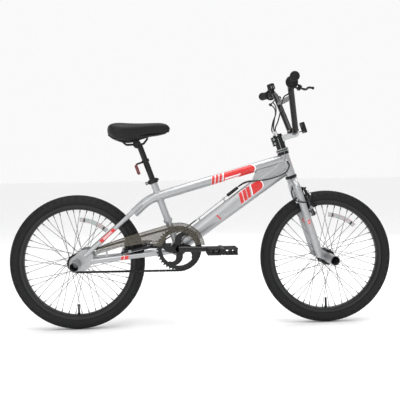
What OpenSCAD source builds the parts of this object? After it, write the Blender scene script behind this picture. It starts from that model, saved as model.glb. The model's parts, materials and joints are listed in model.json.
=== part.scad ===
// Freestyle BMX bike with a cable rotor, 20 inch wheels, pegs and linear-pull brakes.
// Units are millimetres. +X is forward, +Y is the rider's left, +Z is up.
// The origin is on the ground, midway between the two axles.

/* [Wheels] */
// Distance between the two axles
wheelbase = 935; // [925:1:950]
// Outside diameter of each tyre
tyre_d = 500; // [498:1:504]
// Width of each tyre
tyre_w = 49; // [47:1:50]
// Spokes on each flange of a hub
spokes_side = 24; // [16:2:24]

/* [Frame] */
// Angle of the head tube to the ground
head_angle = 72; // [71:0.5:73]
// Distance of the front axle ahead of the steering axis
fork_offset = 28; // [26:1:30]
// Angle of the seat tube to the ground
seat_angle = 70.3; // [70:0.1:71]
// Height of the bottom bracket
bb_height = 296; // [294:1:298]
// Outside diameter of the top tube
top_tube_d = 36; // [34:1:36]
// Height of the down tube where it leaves the bottom bracket
down_tube_d = 54; // [50:1:55]

/* [Drive] */
// Teeth on the chainring
ring_teeth = 40; // [40:4:40]
// Teeth on the freewheel cog
cog_teeth = 16; // [16:1:16]
// Links in the chain
chain_links = 88; // [88:2:88]
// Length of a crank arm between its axes
crank_arm = 150; // [145:1:155]

/* [Cockpit] */
// Half the width across the handlebar ends
bar_half = 353; // [345:1:360]
// Rise of the handlebar above its clamp, along its own slope
bar_rise = 165; // [160:1:170]
// Length of a grip
grip_len = 128; // [120:1:130]

/* [Seat] */
// How far up the seat tube axis the seat post ends
post_top = 412; // [405:1:415]

/* [Hidden] */
$fn = 64;

// colours
silver = [0.80, 0.81, 0.83];
black = [0.10, 0.10, 0.11];
steel = [0.62, 0.63, 0.65];
rubber = [0.13, 0.13, 0.14];
smoke = [0.45, 0.42, 0.38, 0.7];
clear_white = [0.85, 0.87, 0.88, 0.8];

// wheels
wheel_r = tyre_d / 2;
tyre_r = tyre_w / 2;
tyre_centre_r = wheel_r - tyre_r;
tyre_wall = 3.6;
rim_in_r = 195.6;
rim_seat_r = 201.5;
rim_out_r = 214;
rim_half_w = 15;
bead_gap = 0.4;
axle_r = 7;
hub_bore_r = 7.1;
freehub_r = 17;
flange_r = 29;
flange_t = 3;
spoke_r = 1;
spoke_circle_r = 27.5;
nipple_len = 12;
spoke_turn = 60;
lacing_shift = 3.75;

// bars, posts and grips
bar_r = 11.1;
post_r = 11.1;
steerer_r = 14.3;
fit = 0.05;
gap = 0.3;

// chain
pitch = 12.7;
chain_y = -42;
guard_y = -51;
guard_t = 2;
ring_r = pitch / (2 * sin(180 / ring_teeth));
cog_r = pitch / (2 * sin(180 / cog_teeth));
roller_r = 3.85;
plate_r = 4.1;

// distance from the rear axle to the bottom bracket that the whole chain just closes round
function run_angle(c) = asin((ring_r - cog_r) / c);
function ring_links(c) = (180 + 2 * run_angle(c)) / 360 * ring_teeth;
function cog_links(c) = (180 - 2 * run_angle(c)) / 360 * cog_teeth;
function run_links(c) = c * cos(run_angle(c)) / pitch;
function links_for(c) = ring_links(c) + cog_links(c) + 2 * run_links(c);
function closing_distance(c, passes) =
    passes == 0 ? c : closing_distance(c + (chain_links - links_for(c)) * pitch / 2, passes - 1);
stay_len = closing_distance(380, 8);
bb_rise = bb_height - wheel_r;
bb_x = sqrt(stay_len * stay_len - bb_rise * bb_rise);
drive_angle = asin(bb_rise / stay_len);

// x is measured forward from the rear axle
function bike(x, y, z) = [x - wheelbase / 2, y, z];
rear_axle_at = bike(0, 0, wheel_r);
front_axle_at = bike(wheelbase, 0, wheel_r);
bb_at = bike(bb_x, 0, bb_height);

// the steering frame: x ahead of the steering axis, z up along it, and z = 0 level with the axle
steer_tilt = head_angle - 90;
steer_at = front_axle_at - fork_offset * [cos(steer_tilt), 0, -sin(steer_tilt)];
function steered(n, y, s) =
    steer_at + n * [cos(steer_tilt), 0, -sin(steer_tilt)] + [0, y, 0]
    + s * [sin(steer_tilt), 0, cos(steer_tilt)];

// heights along the steering axis
fork_foot = 14;
race_s = 324;
head_low = 334;
head_high = 418;
head_r = 19.2;
tube_wall = 2;
lower_plate_s = 430;
upper_plate_s = 438;
clamp_low = 458;
clamp_high = 492;
leg_y = 52.5;
leg_r = 13.5;
bar_n = 61.6;
bar_s = 485.4;

// the seat frame: z up along the seat tube from the bottom bracket
seat_tilt = seat_angle - 90;
seat_tube_r = 13;
seat_tube_len = 272;

// tubes of the main triangle
top_head = bike(784, 0, 624);
top_bend = bike(270, 0, 480.3);
top_end = bike(212, 0, 428);
top_bend_r = 150;
top_r = top_tube_d / 2;
shell_r = 28;
shell_half = 34;
down_low = bike(bb_x, 0, bb_height + 6);
down_head = steered(0, 0, 378);
down_head_h = 33;
down_head_w = 18;

// dropouts and pegs
rear_drop_y = 55;
front_drop_y = 50;
drop_t = 5;
peg_r = 18;
peg_len = 98;
peg_floor = 8.5;

// linear-pull brakes, in their own frame: x sideways, y outward from the axle, z off the wheel's plane
stud_x = 41;
stud_r = 4;
stud_at = 175;
arm_tip = 278;
shoe_at = 199;
rear_brake_tilt = 11.5;

// handlebar points for the left side
bar_tilt = 14;
function bar_point(y, t) = steered(bar_n, y, bar_s) + t * [-sin(bar_tilt), 0, cos(bar_tilt)];
bar_foot = bar_point(48, 0);
bar_top = bar_point(162, bar_rise);
bar_end = [bar_top.x - 21, bar_half - 3, bar_top.z + 9];
function bar_at(y) = bar_top + (bar_end - bar_top) * (y - bar_top.y) / (bar_end.y - bar_top.y);
lever_y = 205;
lever_drop = 30;
lever_pivot = 32;

function unit(v) = v / norm(v);
function flip(v, side) = [v.x, side * v.y, v.z];

// ---------- helpers ----------

// children's z axis laid from a towards b
module along(a, b) {
    d = b - a;
    translate(a)
        rotate([0, acos(d.z / norm(d)), atan2(d.y, d.x)])
            children();
}

module rod(a, b, r, r2 = -1) {
    along(a, b)
        cylinder(h = norm(b - a), r1 = r, r2 = r2 < 0 ? r : r2);
}

// a cylinder along y
module barrel(r, y0, y1, sides = 64) {
    translate([0, y1, 0])
        rotate([90, 0, 0])
            cylinder(h = y1 - y0, r = r, $fn = sides);
}

module ring(r, bore, y0, y1) {
    difference() {
        barrel(r, y0, y1);
        barrel(bore, y0 - 1, y1 + 1);
    }
}

// an outline in x and z, given thickness along y
module plate(y0, y1) {
    translate([0, y1, 0])
        rotate([90, 0, 0])
            linear_extrude(y1 - y0)
                children();
}

// a profile in radius and y, turned about the y axis
module spun() {
    rotate([-90, 0, 0])
        rotate_extrude($fn = 180)
            children();
}

module both_sides() {
    children();
    mirror([0, 1, 0])
        children();
}

function setback(p, v, q, bend_r) = bend_r * tan(acos(unit(v - p) * unit(q - v)) / 2);

function between(a, b, t) = a + (b - a) * t;

// points round one corner of a tube
function corner(p, v, q, bend_r) = let (
    back = setback(p, v, q, bend_r),
    a = v + unit(p - v) * back,
    b = v + unit(q - v) * back)
    [for (t = [0 : 0.2 : 1]) between(between(a, v, t), between(v, b, t), t)];

// a round tube through points, with its corners rounded to bend_r
module bent_tube(points, bend_r, r, sides = 32) {
    last = len(points) - 1;
    sweep(concat([points[0]],
        [for (i = [1 : last - 1], c = corner(points[i - 1], points[i], points[i + 1], bend_r)) c],
        [points[last]]), r, sides);
}

// a smooth cord through hand-placed points
function curve_at(a, b, c, d, t) =
    0.5 * (2 * b + (c - a) * t + (2 * a - 5 * b + 4 * c - d) * t * t
           + (3 * b - a - 3 * c + d) * t * t * t);
function curve(p, steps) = let (last = len(p) - 1) concat(
    [for (i = [0 : last - 1], k = [0 : steps - 1])
        curve_at(p[max(i - 1, 0)], p[i], p[i + 1], p[min(i + 2, last)], k / steps)],
    [p[last]]);
function directions(c) =
    [for (i = [0 : len(c) - 1]) unit(c[min(i + 1, len(c) - 1)] - c[max(i - 1, 0)])];
function normals(d, i, n) = i == len(d) ? [] :
    let (m = unit(n - (n * d[i]) * d[i])) concat([m], normals(d, i + 1, m));

module sweep(c, r, sides) {
    d = directions(c);
    n = normals(d, 0, abs(d[0].x) < 0.8 ? [1, 0, 0] : [0, 1, 0]);
    rings = len(c);
    polyhedron(
        [for (i = [0 : rings - 1], j = [0 : sides - 1])
            c[i] + r * (n[i] * cos(360 * j / sides) + cross(d[i], n[i]) * sin(360 * j / sides))],
        concat(
            [for (i = [0 : rings - 2], j = [0 : sides - 1]) let (k = (j + 1) % sides)
                [i * sides + j, (i + 1) * sides + j, (i + 1) * sides + k, i * sides + k]],
            [[for (j = [0 : sides - 1]) j],
             [for (j = [sides - 1 : -1 : 0]) (rings - 1) * sides + j]]),
        convexity = 6);
}

module cord(points, r, steps = 3, sides = 8) {
    sweep(curve(points, steps), r, sides);
}

module in_steering() {
    translate(steer_at)
        rotate([0, steer_tilt, 0])
            children();
}

module in_seat_tube() {
    translate(bb_at)
        rotate([0, seat_tilt, 0])
            children();
}

module in_front_brake() {
    in_steering()
        multmatrix([[0, 0, 1, fork_offset], [1, 0, 0, 0], [0, 1, 0, 0], [0, 0, 0, 1]])
            children();
}

module in_rear_brake() {
    c = cos(rear_brake_tilt);
    s = sin(rear_brake_tilt);
    translate(rear_axle_at)
        multmatrix([[0, c, -s, 0], [-1, 0, 0, 0], [0, s, c, 0], [0, 0, 0, 1]])
            children();
}

// ---------- frame ----------

module head_tube() {
    color(silver)
        in_steering()
            difference() {
                translate([0, 0, head_low])
                    cylinder(h = head_high - head_low, r = head_r);
                translate([0, 0, head_low - 1])
                    cylinder(h = head_high - head_low + 2, r = 16.9);
            }
}

module head_solid() {
    in_steering()
        translate([0, 0, head_low - 20])
            cylinder(h = head_high - head_low + 40, r = head_r);
}

module top_tube_solid(r, inset = 0) {
    d = unit(top_end - top_bend);
    bent_tube([top_head, top_bend, top_end - d * inset], top_bend_r, r, sides = 40);
}

module seat_tube_solid() {
    in_seat_tube()
        cylinder(h = seat_tube_len, r = seat_tube_r);
}

module top_tube() {
    color(silver)
        difference() {
            top_tube_solid(top_r);
            top_tube_solid(top_r - tube_wall, 3);
            head_solid();
            seat_tube_solid();
        }
}

module down_tube_solid(wall = 0) {
    hull() {
        along(down_low, down_head)
            cylinder(h = 1, r = down_tube_d / 2 - wall, $fn = 40);
        along(down_head, 2 * down_head - down_low)
            scale([(down_head_h - wall) / (down_head_w - wall), 1, 1])
                cylinder(h = 1, r = down_head_w - wall, $fn = 40);
    }
}

module down_tube() {
    color(silver)
        difference() {
            down_tube_solid();
            down_tube_solid(tube_wall);
            head_solid();
            top_tube_solid(top_r);
            seat_tube_solid();
            translate(bb_at)
                barrel(shell_r, -60, 60);
        }
}

module seat_tube() {
    color(silver)
        difference() {
            seat_tube_solid();
            in_seat_tube()
                translate([0, 0, shell_r + 2])
                    cylinder(h = seat_tube_len, r = post_r + 0.1);
            translate(bb_at)
                barrel(shell_r, -60, 60);
        }
}

module bottom_bracket_shell() {
    color(silver)
        translate(bb_at)
            ring(shell_r, 25.75, -shell_half, shell_half);
}

module head_gusset() {
    gusset_half = 15;
    color(silver)
        difference() {
            translate(bike(0, 0, 0))
                plate(-gusset_half, gusset_half)
                    polygon([[652, 528], [674, 580], [745, 600], [745, 570]]);
            down_tube_solid();
            top_tube_solid(top_r);
        }
}

module stay_lines(r, low, high) {
    both_sides()
        rod(low, high, r);
}

module dropout_plates() {
    translate(rear_axle_at)
        both_sides()
            difference() {
                plate(rear_drop_y, rear_drop_y + drop_t)
                    polygon([[-20, -6], [-18, 14], [-4, 32], [18, 50], [42, 52], [60, 32],
                        [62, 4], [42, -18], [28, -27], [-10, -24]]);
                barrel(axle_r + gap, 0, 100);
                translate([-40, 0, -axle_r - gap])
                    cube([40, 100, 2 * (axle_r + gap)]);
            }
}

module rear_dropouts() {
    color(silver)
        dropout_plates();
}

module chain_stay_rods(r) {
    stay_lines(r, bike(52, 58, 257), bike(bb_x - 5, 21, 286));
}

module chain_stays() {
    color(silver)
        difference() {
            union() {
                chain_stay_rods(9.5);
                translate(bike(292, 0, 279))
                    barrel(6, -28, 28);
            }
            dropout_plates();
            translate(bb_at)
                barrel(shell_r, -60, 60);
        }
}

module seat_stays() {
    color(silver)
        difference() {
            stay_lines(8, bike(30, 61, 277.6), bike(240, 23.5, 462));
            dropout_plates();
            top_tube_solid(top_r);
        }
}

wire_low = bike(451, 0, 403);
joiner_low = bike(562, 0, 487);
joiner_high = bike(604, 0, 518);

module frame_fittings() {
    color(silver) {
        // studs that the rear brake arms turn on
        difference() {
            in_rear_brake()
                for (side = [-1, 1])
                    translate([side * stud_x, stud_at, 0]) {
                        translate([0, 0, -16])
                            cylinder(h = 9.7, r = 8);
                        translate([0, 0, -8])
                            cylinder(h = 16, r = stud_r);
                    }
            chain_stay_rods(9.5);
        }
        // tabs beside the head tube, where the two lower rotor cables start
        in_steering()
            for (side = [-1, 1])
                difference() {
                    translate([-6, side > 0 ? 12 : -31, 402])
                        cube([12, 19, 3]);
                    translate([0, 0, 380])
                        cylinder(h = 40, r = head_r);
                    translate([0, side * 27, 400])
                        cylinder(h = 8, r = 1.2);
                }
        // stops for the wire on top of the down tube
        for (at = [wire_low, between(wire_low, joiner_low, 0.85)])
            difference() {
                union() {
                    along(at, joiner_low)
                        cylinder(h = 9, r = 3.6);
                    rod(at + [3, 0, 0], at + [14, 0, -17], 2.5);
                }
                rod(wire_low - unit(joiner_low - wire_low) * 9, joiner_low, 1.2);
                down_tube_solid();
            }
        // clip on the seat tube and tab on the chain stay that hold the guard
        difference() {
            union() {
                in_seat_tube()
                    translate([0, 0, 104])
                        cylinder(h = 12, r = 17);
                rod(bike(338, -5, 398), bike(345, guard_y + guard_t, 384.5), 2.5);
            }
            seat_tube_solid();
        }
        difference() {
            translate(bike(106, guard_y + guard_t, 262))
                cube([8, 2, 38]);
            chain_stay_rods(9.5);
        }
    }
}

module seat_clamp() {
    color(black)
        in_seat_tube()
            difference() {
                union() {
                    translate([0, 0, 258])
                        cylinder(h = 17, r = 17);
                    translate([-30, -9, 261])
                        cube([16, 18, 11]);
                    translate([17, 0, 267])
                        barrel(5.5, -7, 7);
                    translate([-24, 0, 266.5])
                        barrel(4.5, -13, 13);
                }
                translate([0, 0, 250])
                    cylinder(h = 30, r = seat_tube_r + fit);
                translate([-35, -1, 250])
                    cube([24, 2, 30]);
            }
}

module headset_cup(low, insert_low) {
    difference() {
        union() {
            translate([0, 0, low])
                cylinder(h = 10, r = 21.5);
            translate([0, 0, insert_low])
                cylinder(h = 8, r = 16.85);
        }
        translate([0, 0, insert_low - 12])
            cylinder(h = 40, r = 15);
    }
}

module bearing_cups() {
    color(black) {
        in_steering() {
            headset_cup(head_low - 10, head_low - 1);
            difference() {
                headset_cup(head_high, head_high - 7);
                // room for the top tube's upper edge
                rod([-60, 0, 404.9], [-19, 0, 403.2], 18.3);
            }
        }
        translate(bb_at)
            both_sides()
                difference() {
                    union() {
                        barrel(25.7, 26, shell_half);
                        barrel(shell_r, shell_half, shell_half + 2.5);
                    }
                    barrel(15.5, 20, 40);
                }
    }
}

// axle with cones, washers and nuts; face is the outside of the dropout
module axle(face, cone) {
    both_sides() {
        barrel(axle_r, 0, face + 26);
        barrel(10.5, cone, face - drop_t);
        barrel(14, face, face + 1.2);
        barrel(12.7, face + 1.5 + peg_floor + 0.3, face + 21, sides = 6);
    }
}

module rear_axle() {
    color(steel)
        translate(rear_axle_at)
            axle(rear_drop_y + drop_t, 52.4);
}

module front_axle() {
    color(steel)
        translate(front_axle_at)
            axle(front_drop_y + drop_t, 47.4);
}

module peg_pair(face) {
    both_sides()
        difference() {
            barrel(peg_r, face + 1.5, face + 1.5 + peg_len);
            barrel(15.5, face + 1.5 + peg_floor, face + peg_len + 3);
            barrel(axle_r + gap, face, face + 20);
        }
}

module rear_pegs() {
    color(steel)
        translate(rear_axle_at)
            peg_pair(rear_drop_y + drop_t);
}

module front_pegs() {
    color(steel)
        translate(front_axle_at)
            peg_pair(front_drop_y + drop_t);
}

module chain_guard() {
    guard_r = 96.5;
    color(smoke)
        translate(bb_at)
            difference() {
                plate(guard_y, guard_y + guard_t)
                    union() {
                        difference() {
                            circle(r = guard_r);
                            translate([-120, -120])
                                square([240, 132]);
                        }
                        polygon([[-20, 94.4], [-203, 45], [-276, 22], [-310, -5], [-310, -17],
                            [-222, 9], [-79, 30], [0, 20]]);
                    }
                barrel(62, -60, -40);
            }
}

// ---------- chain drive ----------

function turned(r, a) = r * [cos(a), 0, sin(a)];
top_angle = drive_angle + 90 + run_angle(stay_len);
low_angle = drive_angle - 90 - run_angle(stay_len);
on_ring = ring_links(stay_len);
on_cog = cog_links(stay_len);
on_run = run_links(stay_len);
function roller(i) = let (s = i % chain_links)
    s <= on_ring ? bb_at + turned(ring_r, top_angle - s * 360 / ring_teeth) :
    s <= on_ring + on_run ? between(bb_at + turned(ring_r, low_angle),
        rear_axle_at + turned(cog_r, low_angle), (s - on_ring) / on_run) :
    s <= on_ring + on_run + on_cog ?
        rear_axle_at + turned(cog_r, low_angle - (s - on_ring - on_run) * 360 / cog_teeth) :
    between(rear_axle_at + turned(cog_r, top_angle), bb_at + turned(ring_r, top_angle),
        (s - on_ring - on_run - on_cog) / on_run);
first_on_cog = ceil(on_ring + on_run);
cog_phase = low_angle - (first_on_cog - on_ring - on_run) * 360 / cog_teeth;

module link_plate(y0, y1) {
    barrel(plate_r, y0, y1, sides = 32);
    translate([pitch, 0, 0])
        barrel(plate_r, y0, y1, sides = 32);
    translate([0, y0, -plate_r + 0.6])
        cube([pitch, y1 - y0, 2 * plate_r - 1.2]);
}

module outer_link() {
    link_plate(2.9, 3.9);
    link_plate(-3.9, -2.9);
    for (x = [0, pitch])
        translate([x, 0, 0])
            barrel(1.8, -4.2, 4.2, sides = 24);
}

module inner_link() {
    difference() {
        union() {
            link_plate(1.7, 2.7);
            link_plate(-2.7, -1.7);
            for (x = [0, pitch])
                translate([x, 0, 0])
                    barrel(roller_r, -1.7, 1.7, sides = 32);
        }
        for (x = [0, pitch])
            translate([x, 0, 0])
                barrel(2, -4, 4, sides = 24);
    }
}

module chain() {
    color(black)
        for (i = [0 : chain_links - 1]) {
            a = roller(i);
            d = roller(i + 1) - a;
            slack = (norm(d) - pitch) / 2;
            translate(a + unit(d) * slack + [0, chain_y, 0])
                rotate([0, -atan2(d.z, d.x), 0])
                    if (i % 2 == 0)
                        outer_link();
                    else
                        inner_link();
        }
}

// a toothed disc whose roller seats start at the angle phase
module toothed_disc(teeth, pitch_r, phase, half_t) {
    difference() {
        barrel(pitch_r + 2.2, -half_t, half_t);
        for (i = [0 : teeth - 1])
            rotate([0, -(phase + i * 360 / teeth), 0])
                translate([pitch_r, 0, 0]) {
                    barrel(roller_r + gap, -half_t - 1, half_t + 1, sides = 24);
                    plate(-half_t - 1, half_t + 1)
                        polygon([[0, -4.1], [0, 4.1], [4, 5.8], [4, -5.8]]);
                }
    }
}

// one comma-shaped cut-out of the chainring
module comma() {
    difference() {
        union() {
            translate([32, 0, -26.4])
                barrel(16, -9, 9);
            intersection() {
                barrel(63, -9, 9);
                translate([12, 0, -44])
                    barrel(36, -9, 9);
            }
        }
        translate([-20, 0, -27])
            barrel(35, -10, 10);
    }
}

module chainring() {
    color(black)
        translate(bb_at + [0, chain_y, 0])
            difference() {
                toothed_disc(ring_teeth, ring_r, top_angle, 1.5);
                barrel(12.3, -9, 9);
                for (i = [0 : 3])
                    rotate([0, i * 90, 0])
                        comma();
            }
}

module freewheel() {
    color(steel)
        translate(rear_axle_at + [0, chain_y, 0])
            difference() {
                union() {
                    toothed_disc(cog_teeth, cog_r, cog_phase, 1.5);
                    barrel(24, -5, 5);
                }
                barrel(freehub_r + fit, -9, 9);
            }
}

module crank() {
    boss_y = 82;
    color(black)
        translate(bb_at) {
            barrel(12, -66, 66);
            both_sides()
                barrel(14.5, 28, 38);
            for (side = [-1, 1]) {
                elbow_at = [0, side * 66, 0];
                boss_at = [-side * crank_arm, side * boss_y, 0];
                translate(elbow_at)
                    sphere(r = 12);
                rod(elbow_at, boss_at, 12, 8.5);
                translate(boss_at)
                    barrel(13, -8, 8);
                // pedal axle
                translate(boss_at)
                    rotate([side > 0 ? -90 : 90, 0, 0])
                        cylinder(h = 112, r = 6);
            }
        }
}

module pedal(side) {
    inner_y = 98;
    outer_y = 192;
    half_len = 56;
    half_h = 13;
    translate(bb_at + [-side * crank_arm, 0, 0])
        mirror([0, side > 0 ? 0 : 1, 0])
            difference() {
                union() {
                    barrel(11.5, inner_y, outer_y + 6);
                    for (y = [inner_y, outer_y - 12])
                        plate(y, y + 12)
                            polygon([[-half_len, -4], [-half_len + 8, -half_h], [half_len - 8, -half_h],
                                [half_len, -4], [half_len, 4], [half_len - 8, half_h],
                                [8 - half_len, half_h], [-half_len, 4]]);
                    for (x = [-half_len, half_len - 10])
                        translate([x, inner_y, -6])
                            cube([10, outer_y - inner_y, 12]);
                    for (x = [-32, 24])
                        translate([x, inner_y, -half_h + 1])
                            cube([8, outer_y - inner_y, 2 * half_h - 2]);
                    translate([-half_len + 4, (inner_y + outer_y) / 2 - 5, -9])
                        cube([2 * half_len - 8, 10, 18]);
                }
                barrel(6.1, inner_y - 1, outer_y + 3);
            }
}

module pedal_left() {
    color(black)
        pedal(1);
}

module pedal_right() {
    color(black)
        pedal(-1);
}

// ---------- wheels ----------

module tyre() {
    color(rubber)
        spun() {
            difference() {
                translate([tyre_centre_r, 0])
                    circle(r = tyre_r, $fn = 64);
                translate([tyre_centre_r, 0])
                    circle(r = tyre_r - tyre_wall, $fn = 64);
                translate([150, -40])
                    square([rim_out_r + 0.5 - 150, 80]);
            }
            for (side = [0, 1])
                mirror([0, side]) {
                    translate([rim_out_r + 0.5, 8.4])
                        square([3, 11.6]);
                    translate([rim_seat_r + 1.8, 8.4])
                        square([14, 3.8]);
                }
        }
}

module rim() {
    lip = rim_half_w - 2.4;
    color(black)
        difference() {
            spun()
                polygon([[rim_in_r, -8], [rim_in_r, 8], [rim_in_r + 2.9, rim_half_w],
                    [rim_out_r, rim_half_w], [rim_out_r, lip], [rim_seat_r, lip],
                    [rim_seat_r, -lip], [rim_out_r, -lip], [rim_out_r, -rim_half_w],
                    [rim_in_r + 2.9, -rim_half_w]]);
            translate([0, 0, -rim_out_r])
                cylinder(h = 30, r = 4.4);
        }
}

module inner_tube() {
    tube_r = 14;
    tube_centre_r = wheel_r - 18;
    color(rubber) {
        spun()
            translate([tube_centre_r, 0])
                circle(r = tube_r);
        translate([0, 0, -tube_centre_r + tube_r - 2])
            cylinder(h = 52, r = 4);
    }
}

// spokes with their nipples, laced from a flange at y to the rim
module spoke_set(flange_y, offset_angle) {
    way = sign(flange_y);
    step = 360 / spokes_side;
    for (i = [0 : spokes_side - 1]) {
        lean = i % 2 == 0 ? 1 : -1;
        hub_a = i * step + offset_angle;
        rim_a = hub_a + lean * spoke_turn;
        hub_y = flange_y + way * lean * 2.8;
        from = turned(spoke_circle_r, hub_a) + [0, hub_y, 0];
        to = turned(rim_in_r + 1, rim_a) + [0, way * 2, 0];
        rod(from, to, spoke_r);
        rod(to - unit(to - from) * nipple_len, to, 2);
        // the bent head, through its hole in the flange
        rod(from, [from.x, 2 * flange_y - from.y, from.z], spoke_r);
    }
}

module spokes(right_y, left_y) {
    color(steel) {
        spoke_set(right_y, lacing_shift);
        spoke_set(left_y, lacing_shift + 180 / spokes_side);
    }
}

module wheel_reflector() {
    reflector_in = 150.5;
    reflector_w = 17;
    clip_y = 4.5;
    color(clear_white)
        rotate([90, 0, 0])
            rotate([0, 0, 46])
                rotate_extrude(angle = 40, $fn = 180)
                    translate([reflector_in, clip_y])
                        square([reflector_w, 5]);
}

module hub(right_flange, left_flange, right_end, left_end, body_r, right_r) {
    color(black)
        difference() {
            union() {
                barrel(body_r, right_flange, left_flange);
                barrel(right_r, right_end, right_flange);
                barrel(13, left_flange, left_end);
                for (y = [right_flange, left_flange])
                    barrel(flange_r, y - flange_t / 2, y + flange_t / 2);
            }
            barrel(hub_bore_r, -100, 100);
        }
}

rear_flanges = [-29.5, 37.5];
front_flanges = [-32.5, 32.5];

module front_tyre() { translate(front_axle_at) tyre(); }
module front_rim() { translate(front_axle_at) rim(); }
module front_spokes() { translate(front_axle_at) spokes(front_flanges[0], front_flanges[1]); }
module front_hub() {
    translate(front_axle_at)
        hub(front_flanges[0], front_flanges[1], -47, 47, 15, 13);
}
module front_inner_tube() { translate(front_axle_at) inner_tube(); }
module front_wheel_reflector() { translate(front_axle_at) wheel_reflector(); }

module rear_tyre() { translate(rear_axle_at) tyre(); }
module rear_rim() { translate(rear_axle_at) rim(); }
module rear_spokes() { translate(rear_axle_at) spokes(rear_flanges[0], rear_flanges[1]); }
module rear_hub() {
    translate(rear_axle_at)
        hub(rear_flanges[0], rear_flanges[1], -52, 52, 16, freehub_r);
}
module rear_inner_tube() { translate(rear_axle_at) inner_tube(); }
module rear_wheel_reflector() { translate(rear_axle_at) wheel_reflector(); }

// ---------- fork and steering ----------

module fork() {
    color(silver)
        in_steering()
            difference() {
                union() {
                    for (side = [-1, 1])
                        bent_tube([[0, side * leg_y, fork_foot], [0, side * leg_y, 297],
                            [0, side * 4, 319]], 38, leg_r);
                    translate([0, 0, 300])
                        cylinder(h = race_s - 0.5 - 300, r = 19.5);
                    translate([0, 0, 300])
                        cylinder(h = clamp_high - 1 - 300, r = steerer_r);
                }
                translate([0, 0, 280])
                    cylinder(h = 240, r = 12.6);
                // trims what the legs put above the crown
                difference() {
                    translate([0, 0, race_s - 0.5])
                        cylinder(h = 40, r = 40);
                    translate([0, 0, race_s - 1])
                        cylinder(h = 42, r = steerer_r);
                }
            }
}

module fork_fittings() {
    color(silver) {
        in_steering()
            both_sides()
                difference() {
                    union() {
                        translate([fork_offset, 0, 0])
                            barrel(16, front_drop_y, front_drop_y + drop_t);
                        plate(front_drop_y, front_drop_y + drop_t)
                            polygon([[-9, 15], [-9, 40], [8, 46], [36, 13], [20, -13]]);
                    }
                    translate([fork_offset, 0, 0])
                        barrel(axle_r + gap, 0, 100);
                    translate([fork_offset - axle_r - gap, 0, -40])
                        cube([2 * (axle_r + gap), 100, 40]);
                    translate([0, leg_y, fork_foot])
                        cylinder(h = 100, r = leg_r);
                }
        // studs that the front brake arms turn on
        difference() {
            in_front_brake()
                for (side = [-1, 1])
                    translate([side * stud_x, stud_at, 0]) {
                        translate([0, 0, -26])
                            cylinder(h = 19, r = 8);
                        translate([0, 0, -8])
                            cylinder(h = 16, r = stud_r);
                    }
            in_steering()
                for (side = [-1, 1])
                    translate([0, side * leg_y, 100])
                        cylinder(h = 150, r = leg_r);
        }
    }
}

module headset_spacers() {
    color(black)
        in_steering() {
            difference() {
                union() {
                    translate([0, 0, head_high + 10.4])
                        cylinder(h = clamp_low - head_high - 10.4 - 0.1, r = 17);
                    translate([0, 0, clamp_high + 0.2])
                        cylinder(h = 5, r = 17);
                }
                translate([0, 0, head_high])
                    cylinder(h = clamp_high - head_high, r = steerer_r + fit);
                translate([0, 0, clamp_high - 1])
                    cylinder(h = 10, r = 4);
            }
        }
}

module stem() {
    color(silver)
        in_steering()
            difference() {
                union() {
                    translate([12, -17, bar_s - 19])
                        cube([54, 34, 22]);
                    translate([bar_n, 0, bar_s - 3])
                        barrel(18, -24, 24);
                }
                translate([0, 0, clamp_low - 1])
                    cylinder(h = 60, r = 19.3);
                translate([bar_n, 0, bar_s])
                    barrel(bar_r + fit, -40, 40);
                translate([bar_n - 22, -40, bar_s])
                    cube([50, 80, 40]);
            }
}

module stem_clamps() {
    color(black)
        in_steering() {
            // steerer clamp with two pinch bolts and the two upper cable stops
            difference() {
                union() {
                    translate([0, 0, clamp_low])
                        cylinder(h = clamp_high - clamp_low, r = 19);
                    translate([-26, -11, clamp_low])
                        cube([12, 22, clamp_high - clamp_low]);
                    for (s = [clamp_low + 9, clamp_high - 9])
                        translate([-20, 0, s])
                            barrel(3.6, -14.5, 14.5);
                    for (side = [-1, 1]) {
                        translate([-12, side > 0 ? 12 : -32, clamp_high - 4])
                            cube([12, 20, 4]);
                        translate([-6, side * 27, clamp_high])
                            cylinder(h = 12, r = 3.5);
                    }
                }
                translate([0, 0, clamp_low - 1])
                    cylinder(h = 60, r = steerer_r + fit);
                for (side = [-1, 1])
                    translate([-6, side * 27, clamp_low])
                        cylinder(h = 60, r = 1.3);
            }
            // cap over the bar
            difference() {
                translate([bar_n, 0, bar_s + 0.2])
                    barrel(17.5, -22, 22);
                translate([bar_n, 0, bar_s])
                    barrel(bar_r + fit, -40, 40);
                translate([bar_n - 30, -40, bar_s - 30])
                    cube([60, 80, 30.4]);
            }
        }
}

module handlebar() {
    brace_t = 124;
    brace_y = 48 + (162 - 48) * brace_t / bar_rise;
    color(black) {
        bent_tube([flip(bar_end, -1), flip(bar_top, -1), flip(bar_foot, -1), bar_foot, bar_top, bar_end],
            35, bar_r);
        rod(bar_point(-brace_y, brace_t), bar_point(brace_y, brace_t), 8);
    }
}

module grips() {
    color(rubber)
        for (side = [-1, 1]) {
            tip = flip(bar_at(bar_half), side);
            root = flip(bar_at(bar_half - grip_len), side);
            difference() {
                union() {
                    rod(root, tip, 15.5);
                    rod(root, root + unit(tip - root) * 4, 22);
                }
                rod(root - unit(tip - root), flip(bar_end, side) + unit(tip - root) * gap,
                    bar_r + fit);
            }
        }
}

// frame at a lever's bar clamp: x forward and down, y sideways as on the bike, z square to both
module in_lever(side) {
    translate(flip(bar_at(lever_y), side))
        rotate([0, lever_drop, 0])
            children();
}

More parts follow.
